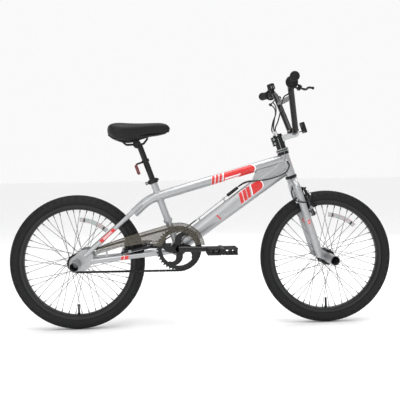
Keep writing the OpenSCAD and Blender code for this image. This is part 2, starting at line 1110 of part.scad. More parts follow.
module lever_brackets() {
    color(black)
        for (side = [-1, 1])
            difference() {
                union() {
                    rod(flip(bar_at(lever_y - 7), side), flip(bar_at(lever_y + 7), side), 15);
                    in_lever(side) {
                        translate([8, -8, -8])
                            cube([14, 16, 16]);
                        for (z = [-8, 4.1])
                            translate([20, -7, z])
                                cube([19, 14, 3.9]);
                        translate([lever_pivot, 0, -9])
                            cylinder(h = 18, r = 2.5);
                        translate([19.5, side > 0 ? -20 : 0, 0])
                            barrel(3.6, 0, 20);
                    }
                }
                rod(flip(bar_at(lever_y - 30), side), flip(bar_at(lever_y + 30), side), bar_r + fit);
            }
}

module lever_blade(side) {
    color(black)
        in_lever(side)
            difference() {
                union() {
                    translate([lever_pivot, 0, -3.8])
                        cylinder(h = 7.6, r = 6.5);
                    cord([[lever_pivot, 0, 0], [48, side * 18, 0], [52, side * 40, 0],
                        [50, side * 70, 0], [53, side * 95, 0], [60, side * 110, 0]], 3.5,
                        sides = 16);
                }
                translate([lever_pivot, 0, -9])
                    cylinder(h = 18, r = 2.5 + fit);
            }
}

module brake_lever_left() { lever_blade(1); }
module brake_lever_right() { lever_blade(-1); }

module bell() {
    bell_y = 186;
    bell_tilt = -16;
    color(black)
        difference() {
            union() {
                rod(bar_at(bell_y - 5), bar_at(bell_y + 5), 13.5);
                translate(bar_at(bell_y))
                    rotate([0, bell_tilt, 0]) {
                        cylinder(h = 22, r = 5);
                        translate([0, 0, 21])
                            cylinder(h = 9, r = 15);
                        translate([0, 0, 30])
                            difference() {
                                sphere(r = 15);
                                translate([-20, -20, -40])
                                    cube([40, 40, 40]);
                            }
                    }
            }
            rod(bar_at(bell_y - 20), bar_at(bell_y + 20), bar_r + fit);
        }
}

module front_reflector() {
    color(black)
        in_steering()
            difference() {
                union() {
                    translate([bar_n + 15, -6, bar_s - 8])
                        cube([23, 12, 3]);
                    translate([bar_n + 34, -6, bar_s - 8])
                        cube([4, 12, 14]);
                    translate([bar_n + 37, -26, bar_s - 16])
                        cube([9, 52, 40]);
                }
                translate([bar_n, 0, bar_s - 3])
                    barrel(18.2, -30, 30);
            }
}

// the mouth of the noodle pipe faces away from the wheel on the rear brake and down on the front
noodle_out = 56;
noodle_up = arm_tip - 6;

// a brake arm in the brake frame: side picks the stud; way is 0 for an arm without the noodle
module brake_arm(side, way) {
    difference() {
        union() {
            translate([side * stud_x, stud_at, -6])
                cylinder(h = 12, r = 8);
            translate([side > 0 ? stud_x - 6 : -stud_x - 4, stud_at, -5])
                cube([10, arm_tip - stud_at, 10]);
            translate([side * 31, shoe_at, 0])
                rotate([0, 90, 0])
                    translate([0, 0, -8])
                        cylinder(h = 16, r = 3.5);
            translate([side > 0 ? 17 : -25, shoe_at - 5, -26])
                cube([8, 10, 52]);
            if (way != 0)
                cord([[side * 10, noodle_up, 0], [side * 28, noodle_up, 0.5],
                    [side * 45, noodle_up + way, 2], [side * 53, noodle_up + way * 7, 4],
                    [side * noodle_out, noodle_up + way * 18, 6]], 2.6, sides = 12);
        }
        translate([side * stud_x, stud_at, -20])
            cylinder(h = 40, r = stud_r + fit);
    }
}

module front_brake_arm_left() { color(black) in_front_brake() brake_arm(1, 0); }
module front_brake_arm_right() { color(black) in_front_brake() brake_arm(-1, -1); }
module rear_brake_arm_left() { color(black) in_rear_brake() brake_arm(-1, 1); }
module rear_brake_arm_right() { color(black) in_rear_brake() brake_arm(1, 0); }

// ---------- rotor and cables ----------

module rotor_plate(low, t, x_ear) {
    difference() {
        union() {
            translate([0, 0, low])
                cylinder(h = t, r = 24.5);
            for (side = [-1, 1])
                translate([x_ear - 5, side > 0 ? 14 : -31, low])
                    cube([10, 17, t]);
        }
        translate([0, 0, low - 5])
            cylinder(h = 20, r = 19);
    }
}

module rotor_upper_plate() {
    color(silver)
        in_steering() {
            rotor_plate(upper_plate_s, 2.5, -6);
            difference() {
                translate([0, 0, lower_plate_s + 3.4])
                    cylinder(h = upper_plate_s - lower_plate_s - 3.4, r = 22.5);
                translate([0, 0, lower_plate_s])
                    cylinder(h = 12, r = 19);
            }
            for (side = [-1, 1])
                translate([-6, side * 27, upper_plate_s + 1])
                    cylinder(h = 46, r = 0.8);
        }
}

module rotor_lower_plate() {
    color(steel)
        in_steering() {
            rotor_plate(lower_plate_s, 3, 0);
            for (side = [-1, 1])
                translate([0, side * 27, 403])
                    cylinder(h = lower_plate_s - 402, r = 0.8);
        }
}

// routes, in the same measure as bike(): x from the rear axle
lower_route = [steered(0, 27, 400.5), steered(1, 27.5, 385), bike(795, 30, 598), bike(785, 34, 577),
    bike(762, 36, 562), bike(722, 36, 549), bike(680, 34, 543), bike(650, 29, 540), bike(625, 16, 533),
    bike(606, 5, 521)];
rear_route = [bike(449, 0, 401.5), bike(430, 6, 387), bike(408, 17, 370), bike(385, 24, 356),
    bike(358, 27, 342), bike(338, 31, 330), bike(322, 42, 321), bike(306, 54, 317),
    bike(293, 58.6, 316), bike(284, 56.3, 314)];
upper_left_route = [steered(-6, 27, clamp_high + 12.5), steered(-8, 28, clamp_high + 28),
    bike(746, 33, 764), bike(757, 44, 790), bike(760, 68, 814), bike(756, 96, 829)];
upper_right_route = [steered(-6, -27, clamp_high + 12.5), steered(-10, -27, clamp_high + 30),
    bike(742, -20, 768), bike(752, 2, 794), bike(758, 32, 816), bike(758, 60, 832),
    bike(754, 90, 842)];
splitter_low = bike(752, 112, 834);
splitter = bike(750, 126, 838);
lever_mouth = bike(789.2, 184, 874.5);
under_bar = [bike(757, 145, 842), bike(768, 162, 850), bike(781, 172, 863), bike(788.5, 178, 872)];
front_route = [flip(lever_mouth, -1), bike(788.5, -178, 872), bike(781, -172, 863),
    bike(768, -162, 850), bike(757, -145, 838), bike(755, -108, 822), bike(758, -60, 795),
    bike(755, -24, 762), steered(0, -4, 520), steered(0, 0, 500),
    steered(0, 0, 440), steered(0, 0, 380), steered(0, 0, 320), steered(-2, 0, 300),
    steered(-9, -8, 288), steered(-21, -24, 275), steered(-26, -46, 258), steered(-20, -66, 242),
    steered(-3, -74, 231), steered(15, -75, 228), steered(30, -69, 234), steered(37, -61, 244),
    steered(36, -56.2, 252.8)];

module rear_brake_cable() {
    color(black) {
        for (side = [-1, 1])
            cord([for (p = lower_route) flip(p, side)], 2.5);
        rod(joiner_low, joiner_high, 6);
        cord(rear_route, 2.5);
        rod(wire_low, joiner_low, 0.8);
    }
}

module upper_rotor_cables() {
    color(black) {
        cord(concat(upper_left_route, [splitter_low, splitter]), 2.5);
        cord(concat(upper_right_route, [splitter_low, splitter]), 2.5);
        rod(splitter_low, splitter, 5);
        cord(concat([splitter], under_bar, [lever_mouth]), 2.5);
    }
}

module front_brake_cable() {
    color(black)
        cord(front_route, 2.5);
}

// ---------- seat ----------

module seat_post() {
    color(black)
        in_seat_tube()
            difference() {
                translate([0, 0, 150])
                    cylinder(h = post_top - 150, r = post_r);
                translate([0, 0, 149])
                    cylinder(h = post_top - 152, r = post_r - 2);
            }
}

module saddle_form() {
    hull() {
        for (side = [-1, 1]) {
            translate(bike(152, side * 42, 734))
                sphere(r = 32, $fn = 32);
            translate(bike(196, side * 34, 710))
                sphere(r = 20, $fn = 24);
        }
        translate(bike(329, 0, 743))
            sphere(r = 22, $fn = 32);
    }
}

// the under-surface of the saddle rises forward; keep_below takes what is under it
module saddle_floor(lift) {
    translate(bike(110, 0, 700 + lift))
        rotate([0, -6, 0])
            translate([-60, -120, -100])
                cube([400, 240, 100]);
}

module saddle_cover() {
    color(black)
        difference() {
            saddle_form();
            saddle_floor(0);
        }
}

module saddle_base() {
    rail_y = 20;
    clamp_at = bike(228, 0, 685);
    color(black) {
        intersection() {
            saddle_form();
            difference() {
                saddle_floor(-0.3);
                saddle_floor(-5);
            }
        }
        // rails
        for (side = [-1, 1])
            bent_tube([bike(268, side * 8, 706.5), bike(252, side * rail_y, 685.6),
                bike(188, side * rail_y, 683), bike(166, side * 30, 703)], 12, 3.5, sides = 16);
        // clamp on the post
        difference() {
            translate(clamp_at)
                barrel(15, -27, 27);
            for (side = [-1, 1])
                rod(bike(252, side * rail_y, 685.6), bike(188, side * rail_y, 683), 3.6);
            in_seat_tube()
                translate([0, 0, post_top - 60])
                    cylinder(h = 100, r = post_r + fit);
        }
    }
}

module rear_reflector() {
    ring_l = 342;
    color([0.55, 0.05, 0.05])
        in_seat_tube()
            difference() {
                union() {
                    translate([0, 0, ring_l])
                        cylinder(h = 10, r = 14);
                    translate([-38, -5, ring_l + 1])
                        cube([28, 10, 7]);
                    translate([-43, -27, ring_l - 34])
                        cube([8, 54, 37]);
                }
                translate([0, 0, ring_l - 10])
                    cylinder(h = 40, r = post_r + fit);
            }
}

head_tube();
top_tube();
down_tube();
seat_tube();
bottom_bracket_shell();
head_gusset();
chain_stays();
seat_stays();
rear_dropouts();
frame_fittings();
seat_clamp();
bearing_cups();
rear_axle();
rear_pegs();
chain_guard();
chain();
rear_brake_cable();
fork();
fork_fittings();
headset_spacers();
stem();
stem_clamps();
handlebar();
grips();
lever_brackets();
front_axle();
front_pegs();
front_reflector();
upper_rotor_cables();
front_brake_cable();
bell();
brake_lever_left();
brake_lever_right();
rotor_upper_plate();
rotor_lower_plate();
front_brake_arm_left();
front_brake_arm_right();
rear_brake_arm_left();
rear_brake_arm_right();
front_tyre();
front_rim();
front_spokes();
front_hub();
front_inner_tube();
front_wheel_reflector();
rear_tyre();
rear_rim();
rear_spokes();
rear_hub();
rear_inner_tube();
rear_wheel_reflector();
freewheel();
crank();
chainring();
pedal_left();
pedal_right();
seat_post();
saddle_cover();
saddle_base();
rear_reflector();
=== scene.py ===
"""Freestyle BMX bike: finishes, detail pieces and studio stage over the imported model."""
import json
import math
from functools import partial

import bmesh
import bpy
from bpy.props import FloatProperty, FloatVectorProperty, IntProperty, PointerProperty
from mathutils import Matrix, Quaternion, Vector


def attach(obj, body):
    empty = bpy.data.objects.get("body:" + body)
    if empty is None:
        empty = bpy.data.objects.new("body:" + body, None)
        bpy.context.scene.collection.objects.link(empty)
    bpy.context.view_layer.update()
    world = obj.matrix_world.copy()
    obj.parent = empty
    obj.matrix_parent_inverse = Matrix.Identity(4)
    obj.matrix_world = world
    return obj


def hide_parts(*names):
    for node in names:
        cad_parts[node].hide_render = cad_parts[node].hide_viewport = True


bl_info = {
    "name": "BMX bike",
    "version": (1, 0, 0),
    "blender": (4, 5, 0),
    "location": "View3D > Sidebar > Bike",
    "description": "Finishes, detail pieces and a studio stage for a freestyle BMX bike",
    "category": "Object",
}

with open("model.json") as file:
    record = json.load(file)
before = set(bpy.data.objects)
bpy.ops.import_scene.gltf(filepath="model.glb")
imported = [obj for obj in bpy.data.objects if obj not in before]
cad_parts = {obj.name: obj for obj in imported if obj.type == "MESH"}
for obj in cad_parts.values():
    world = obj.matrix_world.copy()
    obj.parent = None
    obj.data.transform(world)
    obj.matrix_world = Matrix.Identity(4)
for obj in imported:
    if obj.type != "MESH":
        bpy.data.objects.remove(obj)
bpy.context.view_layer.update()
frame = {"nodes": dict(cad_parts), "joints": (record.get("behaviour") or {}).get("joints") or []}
nodes = frame["nodes"]
joints = {j["name"]: j for j in frame["joints"]}

MM = 0.001
PER_METRE = 1000
HALF_BASE = 467.5
X, Y, Z = Vector((1, 0, 0)), Vector((0, 1, 0)), Vector((0, 0, 1))

# the steering axis, the way the axle lies ahead of it, and the seat tube
UP_STEER = Vector(joints["steering_turn"]["axis"])
AHEAD = Y.cross(UP_STEER)
STEER_FOOT = Vector(joints["steering_turn"]["pos_m"])
UP_SEAT = Vector(joints["seat_height"]["axis"])
REAR_AXLE = Vector(joints["rear_wheel_spin"]["pos_m"])
FRONT_AXLE = Vector(joints["front_wheel_spin"]["pos_m"])
SPINDLE = Vector(joints["crank_spin"]["pos_m"])
LEVER_AXIS = Vector(joints["left_lever_pull"]["axis"])


def bike(x, y, z):
    """A place measured in mm from under the rear axle."""
    return Vector((x - HALF_BASE, y, z)) * MM


def steered(n, y, s):
    """A place in the steering frame: ahead, to the left and up the steering axis, in mm."""
    return STEER_FOOT + (n * AHEAD + y * Y + s * UP_STEER) * MM


def seated(n, y, s):
    """A place in the seat frame: ahead, to the left and up the seat tube, in mm."""
    return SPINDLE + (n * Y.cross(UP_SEAT) + y * Y + s * UP_SEAT) * MM


BAR_TOP = bike(777.04, 162, 882.12)
BAR_END = bike(756.04, 350, 891.12)
SPLITTER_LOW, SPLITTER = bike(752, 112, 834), bike(750, 126, 838)


def bar_at(y, side=1):
    """The middle of the handlebar's grip end at a distance from the bike's middle, in mm."""
    p = BAR_TOP.lerp(BAR_END, (y - 162) / 188)
    return Vector((p.x, side * p.y, p.z))


def flip(p, side):
    return Vector((p[0], side * p[1], p[2]))


# ---------------------------------------------------------------- shader arithmetic


class Flow:
    """A shader socket that can be used in Python sums."""

    def __init__(self, tree, socket):
        self.tree = tree
        self.socket = socket

    def sum(self, operation, *terms):
        node = self.tree.nodes.new("ShaderNodeMath")
        node.operation = operation
        for slot, term in zip(node.inputs, terms):
            if isinstance(term, Flow):
                self.tree.links.new(term.socket, slot)
            else:
                slot.default_value = term
        return Flow(self.tree, node.outputs[0])

    def __add__(self, other):
        return self.sum("ADD", self, other)

    def __radd__(self, other):
        return self.sum("ADD", other, self)

    def __sub__(self, other):
        return self.sum("SUBTRACT", self, other)

    def __rsub__(self, other):
        return self.sum("SUBTRACT", other, self)

    def __mul__(self, other):
        return self.sum("MULTIPLY", self, other)

    def __rmul__(self, other):
        return self.sum("MULTIPLY", other, self)

    def __truediv__(self, other):
        return self.sum("DIVIDE", self, other)

    def __rtruediv__(self, other):
        return self.sum("DIVIDE", other, self)

    def __abs__(self):
        return self.sum("ABSOLUTE", self)

    def over(self, edge):
        """1 where this is above the edge, 0 elsewhere."""
        return self.sum("GREATER_THAN", self, edge)

    def under(self, edge):
        return self.sum("LESS_THAN", self, edge)

    def within(self, low, high):
        return self.over(low) * self.under(high)

    def most(self, other):
        return self.sum("MAXIMUM", self, other)

    def sine(self):
        return self.sum("SINE", self)

    def root(self):
        return self.sum("SQRT", self)

    def turn(self, other):
        return self.sum("ARCTAN2", self, other)


class NodeTree:
    """A tree that shader nodes are added to."""

    def __init__(self, tree):
        self.tree = tree

    def node(self, kind, settings=None, inputs=None, out=0, stops=None):
        """Adds a node, sets it, then fills or links its sockets."""
        made = self.tree.nodes.new(kind)
        for key, value in (settings or {}).items():
            setattr(made, key, value)
        if stops:
            ramp = made.color_ramp
            while len(ramp.elements) < len(stops):
                ramp.elements.new(0.5)
            for element, (at, colour) in zip(ramp.elements, stops):
                element.position = at
                element.color = (*colour, 1)
        for key, value in (inputs or {}).items():
            if isinstance(value, Flow):
                self.tree.links.new(value.socket, made.inputs[key])
            else:
                made.inputs[key].default_value = value
        return Flow(self.tree, made.outputs[out])


class Finish(NodeTree):
    """One procedural material, built in metres on the row frame."""

    def __init__(self, name):
        self.material = bpy.data.materials.new(name)
        self.material.use_nodes = True
        super().__init__(self.material.node_tree)
        self.tree.nodes.clear()
        self.shader = self.tree.nodes.new("ShaderNodeBsdfPrincipled")
        out = self.tree.nodes.new("ShaderNodeOutputMaterial")
        self.tree.links.new(self.shader.outputs[0], out.inputs[0])
        self.place = self.node("ShaderNodeTexCoord", out="Object")

    def axes(self):
        made = self.node("ShaderNodeSeparateXYZ", inputs={0: self.place})
        sockets = made.socket.node.outputs
        return [Flow(self.tree, sockets[i]) for i in range(3)]

    def noise(self, scale, detail=3.0, rough=0.5, vector=None):
        return self.node(
            "ShaderNodeTexNoise",
            inputs={"Vector": vector or self.place, "Scale": scale, "Detail": detail, "Roughness": rough},
            out="Fac",
        )

    def cells(self, scale, feature="F1"):
        return self.node(
            "ShaderNodeTexVoronoi",
            {"feature": feature},
            {"Vector": self.place, "Scale": scale},
            out="Distance",
        )

    def stretched(self, sx, sy, sz):
        """The place, scaled along each axis."""
        return self.node(
            "ShaderNodeVectorMath", {"operation": "MULTIPLY"}, {0: self.place, 1: (sx, sy, sz)}
        )

    def mix(self, mask, low, high):
        """Colour low where the mask is 0 and high where it is 1."""
        made = self.tree.nodes.new("ShaderNodeMix")
        made.data_type = "RGBA"
        for key, value in ((0, mask), (6, low), (7, high)):
            if isinstance(value, Flow):
                self.tree.links.new(value.socket, made.inputs[key])
            else:
                made.inputs[key].default_value = value if key == 0 else (*value, 1)
        return Flow(self.tree, made.outputs[2])

    def spread(self, value, low, high, new_low, new_high):
        return self.node(
            "ShaderNodeMapRange",
            {"clamp": True},
            {"Value": value, "From Min": low, "From Max": high, "To Min": new_low, "To Max": new_high},
        )

    def follow(self, texture, low, high):
        """Goes from low to high as a texture goes through its usual range."""
        return self.spread(texture, 0.3, 0.7, low, high)

    def fill(self, bump=None, bump_depth=0.0001, bump_strength=0.5, **values):
        """Sets or links sockets of the shader, named in lower case with underscores."""
        for key, value in values.items():
            slot = self.shader.inputs[key.replace("_", " ").title().replace("Ior", "IOR")]
            if isinstance(value, Flow):
                self.tree.links.new(value.socket, slot)
            elif isinstance(value, tuple):
                slot.default_value = (*value, 1)
            else:
                slot.default_value = value
        if bump is not None:
            made = self.node(
                "ShaderNodeBump",
                inputs={"Strength": bump_strength, "Distance": bump_depth, "Height": bump},
            )
            self.tree.links.new(made.socket, self.shader.inputs["Normal"])
        return self.material


# ---------------------------------------------------------------- finishes

SHELF = {}


def finish(name):
    """A finish by name, made the first time it is asked for."""
    if name not in SHELF:
        SHELF[name] = MAKERS[name](Finish(name))
    return SHELF[name]


def shade(colour, share):
    """A colour made darker or lighter by a share."""
    return tuple(min(1, c * share) for c in colour)


# each tube's two ends, on the bike's middle plane
TOP_TUBE = bike(270, 0, 480.3), bike(784, 0, 624)
DOWN_TUBE = bike(375.1, 0, 302), bike(791.6, 0, 600.9)
SEAT_STAY = bike(30, 0, 277.6), bike(240, 0, 462)
CHAIN_STAY = bike(52, 0, 257), bike(370, 0, 286)

PAINT_METAL = 0.68
WHITE_TRANSFER = (0.86, 0.86, 0.87)
LACQUER = {"coat_roughness": 0.1}


def tube_place(f, start, end):
    """Distance along a tube from its start, and height over its middle, in mm, seen from the side."""
    x, _, z = f.axes()
    way = (end - start).normalized()
    dx = (x - start.x) * PER_METRE
    dz = (z - start.z) * PER_METRE
    return dx * way.x + dz * way.z, dz * way.x - dx * way.z


def steering_place(f):
    """Distance ahead of the steering axis, to the side and up the axis, in mm."""
    x, y, z = f.axes()
    dx = (x - STEER_FOOT.x) * PER_METRE
    dz = (z - STEER_FOOT.z) * PER_METRE
    return dx * AHEAD.x + dz * AHEAD.z, y * PER_METRE, dx * UP_STEER.x + dz * UP_STEER.z


def wheel_reach(f):
    """Distance from the nearer wheel's axle, in mm."""
    x, _, z = f.axes()
    dx = abs(x) - FRONT_AXLE.x
    dz = z - FRONT_AXLE.z
    return (dx * dx + dz * dz).root() * PER_METRE


def silver(f, marks=None):
    """Silver paint with fine flake under clear lacquer; marks are red and white transfers."""
    tint = bpy.context.scene.bike_colours
    drift = f.noise(14, 2)
    base = f.mix(drift, shade(tint.silver, 0.93), shade(tint.silver, 1.05))
    base = f.mix(f.spread(f.noise(2600, 1), 0.35, 0.7, 0.0, 0.3), base, shade(tint.silver, 1.25))
    base = f.mix(f.spread(f.noise(45, 5), 0.58, 0.8, 0.0, 0.25), base, shade(tint.silver, 0.72))
    metal = PAINT_METAL
    if marks:
        red, white = marks(f)
        base = f.mix(white, base, WHITE_TRANSFER)
        base = f.mix(red, base, f.mix(f.noise(60, 3), tint.red, shade(tint.red, 0.8)))
        metal = PAINT_METAL * (1 - red.most(white))
    return f.fill(
        base_color=base, roughness=f.spread(drift, 0.2, 0.8, 0.30, 0.42), metallic=metal, coat_weight=0.35,
        bump=f.noise(420, 2), bump_depth=0.00004, bump_strength=0.35, **LACQUER,
    )


def bars(t, q, starts, width, slant, low, high):
    """Slanted stripes across a tube."""
    lean = t - q * slant
    mask = lean.within(starts[0], starts[0] + width)
    for start in starts[1:]:
        mask = mask.most(lean.within(start, start + width))
    return mask * q.within(low, high)


def round_block(t, q, start, end, slant, low, high):
    """A block with a slanted tail and a rounded front end."""
    mid = (low + high) / 2
    half = (high - low) / 2
    along = (t - (end - half)).most(0.0)
    across = q - mid
    inside = (along * along + across * across).under(half * half)
    return (t - q * slant).over(start) * q.within(low, high) * inside


def top_tube_marks(f):
    t, q = tube_place(f, *TOP_TUBE)
    slant = 0.35
    strips = bars(t, q, (243.5, 258.0, 272.5), 10.2, slant, -17, 15.5)
    block = round_block(t, q, 289.5, 411, slant, -17, 15.5)
    window = (t - q * slant).within(295, 356) * q.within(-10.5, -5.5)
    low_window = (t - q * slant).within(295, 350) * q.within(-17.5, -13.5)
    halo = bars(t, q, (242.5, 256.5, 271.0, 286.0), 12, slant, -18.5, 16.5)
    halo = halo.most(round_block(t, q, 286, 416, slant, -18.5, 16.5))
    return strips.most(block * (1 - window) * (1 - low_window)), halo


def down_tube_marks(f):
    t, q = tube_place(f, *DOWN_TUBE)
    slant = 0.42
    strips = bars(t, q, (288.5, 305.5, 322.5), 13.8, slant, -14.5, 24)
    block = round_block(t, q, 345.5, 393, slant, -14.5, 24)
    halo = bars(t, q, (289.5, 305.0, 322.0, 341.0), 14, slant, -16, 25.5)
    halo = halo.most(round_block(t, q, 341, 397, slant, -16, 25.5))
    dash = (t + q * 0.16).within(183, 188.5) * q.within(-14.5, 8.0)
    return strips.most(block).most(dash), halo


def seat_stay_marks(f):
    t, q = tube_place(f, *SEAT_STAY)
    lean = t + q * 0.2
    block = lean.within(78, 146) * q.within(-7, 6)
    lines = lean.within(92, 132) * (q.within(-3.6, -1.6).most(q.within(0.6, 2.6)))
    return block * (1 - lines), block


def chain_stay_marks(f):
    t, q = tube_place(f, *CHAIN_STAY)
    lean = t - q * 0.3
    block = lean.within(111, 138) * q.within(-7.5, 6)
    return block * (1 - lean.within(121, 123)), block


def fork_marks(f):
    n, _, s = steering_place(f)
    lean = s - n * 0.5
    mark = lean.within(146, 160) * n.within(-6, 5)
    return mark * (1 - lean.within(151.5, 153.5)), mark


def head_marks(f):
    """An oval badge with a plain upright bar, on the front of the head tube."""
    n, y, s = steering_place(f)
    wide = abs(y)
    middle = 383

    def oval(half_tall, wide_square):
        up = (s - middle) / half_tall
        return (up * up + wide * wide / wide_square).under(1.0) * n.over(5.0)

    badge, inner = oval(22, 90), oval(18, 55)
    return badge * (1 - inner * (1 - wide.under(2.0))), badge


def texture(f, kind, *sizes):
    """A noise, a field of cells, or fine lines left by brushing."""
    if kind == "cells":
        return f.cells(*sizes)
    if kind == "brushed":
        detail, *stretch = sizes
        return f.noise(1, detail, vector=f.stretched(*stretch))
    return f.noise(*sizes)


def plain(f, dark, light, rough, depth, strength, cloud, sheen=None, grain=None, **constants):
    """A one-colour finish: a clouded base, a varying sheen and a fine grain."""
    cloud = texture(f, *cloud)
    sheen = texture(f, *sheen) if sheen else cloud
    grain = texture(f, *grain) if grain else sheen
    return f.fill(
        base_color=f.mix(cloud, dark, light), roughness=f.follow(sheen, *rough),
        bump=grain, bump_depth=depth, bump_strength=strength, **constants,
    )


PLAIN_FINISHES = {
    "satin_black": dict(
        dark=(0.005, 0.005, 0.006), light=(0.014, 0.014, 0.015), rough=(0.36, 0.5), depth=0.00004,
        strength=0.35, cloud=("noise", 25, 4), sheen=("noise", 1800, 2), specular_ior_level=0.3),
    "machined_steel": dict(
        dark=(0.26, 0.265, 0.275), light=(0.42, 0.425, 0.435), rough=(0.26, 0.44), depth=0.00003,
        strength=0.4, cloud=("brushed", 4, 150, 2200, 150), metallic=1.0),
    "bright_alloy": dict(
        dark=(0.54, 0.545, 0.555), light=(0.68, 0.685, 0.70), rough=(0.2, 0.34), depth=0.00003,
        strength=0.3, cloud=("noise", 40, 4), grain=("noise", 900, 2), metallic=0.9),
    "spoke_steel": dict(
        dark=(0.10, 0.103, 0.108), light=(0.20, 0.203, 0.21), rough=(0.3, 0.5), depth=0.00002,
        strength=0.2, cloud=("noise", 300, 3), metallic=0.8),
    "chain_steel": dict(
        dark=(0.005, 0.005, 0.005), light=(0.028, 0.027, 0.025), rough=(0.25, 0.55), depth=0.00005,
        strength=0.3, cloud=("noise", 120, 4), metallic=0.7),
    "soft_rubber": dict(
        dark=(0.006, 0.006, 0.0065), light=(0.014, 0.014, 0.015), rough=(0.55, 0.75), depth=0.00008,
        strength=0.4, cloud=("noise", 50, 4), sheen=("noise", 80), grain=("cells", 1500),
        specular_ior_level=0.22),
    "cable_sleeve": dict(
        dark=(0.004, 0.004, 0.0045), light=(0.010, 0.010, 0.011), rough=(0.28, 0.42), depth=0.00003,
        strength=0.3, cloud=("noise", 70, 3), grain=("noise", 700, 2), specular_ior_level=0.3),
    "moulded_black": dict(
        dark=(0.006, 0.006, 0.0065), light=(0.016, 0.016, 0.017), rough=(0.42, 0.6), depth=0.00006,
        strength=0.45, cloud=("noise", 35, 4), sheen=("noise", 60), grain=("cells", 900),
        specular_ior_level=0.25),
}


def gloss_black(f):
    scuff = f.spread(f.noise(90, 6, 0.65), 0.55, 0.75, 0.0, 1.0)
    base = f.mix(scuff, bpy.context.scene.bike_colours.black, (0.012, 0.012, 0.013))
    return f.fill(
        base_color=base, roughness=f.follow(f.noise(30), 0.22, 0.36), specular_ior_level=0.3,
        coat_weight=0.12, bump=f.noise(500, 2), bump_depth=0.00003, bump_strength=0.3, **LACQUER,
    )


def rotor_plate(f):
    """A bright plate on a black bearing."""
    bearing_top = 437.7
    lines = f.noise(1, 3, vector=f.stretched(900, 900, 900))
    bearing = steering_place(f)[2].under(bearing_top)
    base = f.mix(bearing, f.mix(lines, (0.40, 0.405, 0.41), (0.52, 0.525, 0.53)), (0.006, 0.006, 0.0065))
    return f.fill(
        base_color=base, roughness=f.follow(lines, 0.25, 0.4), metallic=0.9 * (1 - bearing),
        bump=lines, bump_depth=0.00002, bump_strength=0.3,
    )


def peg_steel(f):
    """Brushed steel, with painted shade (black, not metallic) inside the hollow pegs and on the axle nuts'
    ends.
    """
    bore_radius = 15.8
    lines = f.noise(1, 3, vector=f.stretched(200, 1500, 200))
    # painted shade: black and not metallic within the bore radius of each peg, where the hollow lies in
    # shadow
    bore_shade = wheel_reach(f).under(bore_radius)
    base = f.mix(bore_shade, f.mix(lines, (0.20, 0.203, 0.21), (0.34, 0.345, 0.355)), (0.004, 0.004, 0.004))
    return f.fill(
        base_color=base, roughness=f.follow(lines, 0.28, 0.45), metallic=0.85 * (1 - bore_shade),
        bump=lines, bump_depth=0.00004, bump_strength=0.4,
    )


def tyre_rubber(f):
    reach = wheel_reach(f)
    dust = f.noise(60, 6, 0.6)
    base = f.mix(dust, (0.006, 0.006, 0.0065), (0.015, 0.015, 0.016))
    tread = f.spread(reach, 236, 249, 0.0, 0.5)
    base = f.mix(tread * f.follow(dust, 0.4, 1.0), base, (0.035, 0.035, 0.036))
    ribs = (reach * 4.2).sine() * reach.within(216, 224) * 0.5 + f.noise(1400, 3) * 0.5
    return f.fill(
        base_color=base, roughness=f.spread(dust, 0.2, 0.8, 0.5, 0.72), specular_ior_level=0.22,
        bump=ribs, bump_depth=0.0003, bump_strength=0.5,
    )


def rim_black(f):
    """Black rim with a worn, grooved braking track."""
    reach = wheel_reach(f)
    track = f.spread(reach, 203, 206, 0.0, 1.0) * abs(f.axes()[1] * PER_METRE).over(14.6)
    base = f.mix(f.noise(30, 4), (0.004, 0.004, 0.0045), (0.012, 0.012, 0.013))
    base = f.mix(track * 0.15, base, (0.10, 0.10, 0.105))
    return f.fill(
        base_color=base, roughness=f.follow(f.noise(300), 0.34, 0.48), specular_ior_level=0.3,
        bump=(reach * 6.0).sine() * track, bump_depth=0.00005, bump_strength=0.4,
    )


def smoked(f):
    """See-through smoky plastic with fine scratches."""
    haze = f.noise(20, 4)
    scratch = f.spread(f.noise(1, 5, 0.7, f.stretched(60, 60, 900)), 0.62, 0.7, 0.0, 1.0)
    base = f.mix(haze, (0.070, 0.060, 0.042), (0.105, 0.092, 0.066))
    base = f.mix(scratch * 0.25, base, (0.24, 0.22, 0.19))
    return f.fill(
        base_color=base, alpha=f.follow(haze, 0.44, 0.52), roughness=f.spread(scratch, 0, 1, 0.16, 0.4),
        coat_weight=0.4, coat_roughness=0.06, bump=haze, bump_depth=0.0002, bump_strength=0.1,
    )


def clear_prism(f):
    """Clear reflector plastic over a grid of tiny prisms."""
    x, _, z = f.axes()
    grid = (x * 1800).sine() * (z * 1800).sine()
    base = f.node("ShaderNodeValToRGB", inputs={"Fac": f.noise(70, 1)}, out="Color", stops=[
        (0.38, (0.30, 0.40, 0.37)), (0.5, (0.42, 0.43, 0.46)), (0.62, (0.50, 0.38, 0.38)),
    ])
    return f.fill(
        base_color=base, roughness=f.spread(grid, -1, 1, 0.08, 0.3), alpha=f.spread(grid, -1, 1, 0.5, 0.7),
        coat_weight=0.8, coat_roughness=0.03, bump=grid, bump_depth=0.0003, bump_strength=0.5,
    )


def prism(f, low, high, **constants):
    """A reflector's face, pressed with a grid of fine prisms."""
    _, y, z = f.axes()
    grid = (y * 2200).sine() * (z * 2200).sine()
    return f.fill(
        base_color=f.mix(f.spread(grid, -1, 1, 0, 1), low, high), roughness=0.12, coat_weight=0.9,
        coat_roughness=0.03, bump=grid, bump_depth=0.0004, bump_strength=0.6, **constants,
    )


def vinyl(f):
    """Saddle cover: fine pebble grain with soft sheen."""
    pebble = f.cells(1100, "SMOOTH_F1")
    crease = f.noise(160, 5, 0.6)
    base = f.mix(crease, (0.005, 0.005, 0.0055), (0.012, 0.012, 0.0135))
    return f.fill(
        base_color=base, roughness=f.follow(crease, 0.42, 0.55), specular_ior_level=0.25,
        bump=pebble * 0.7 + crease * 0.3, bump_depth=0.00012, bump_strength=0.5,
    )


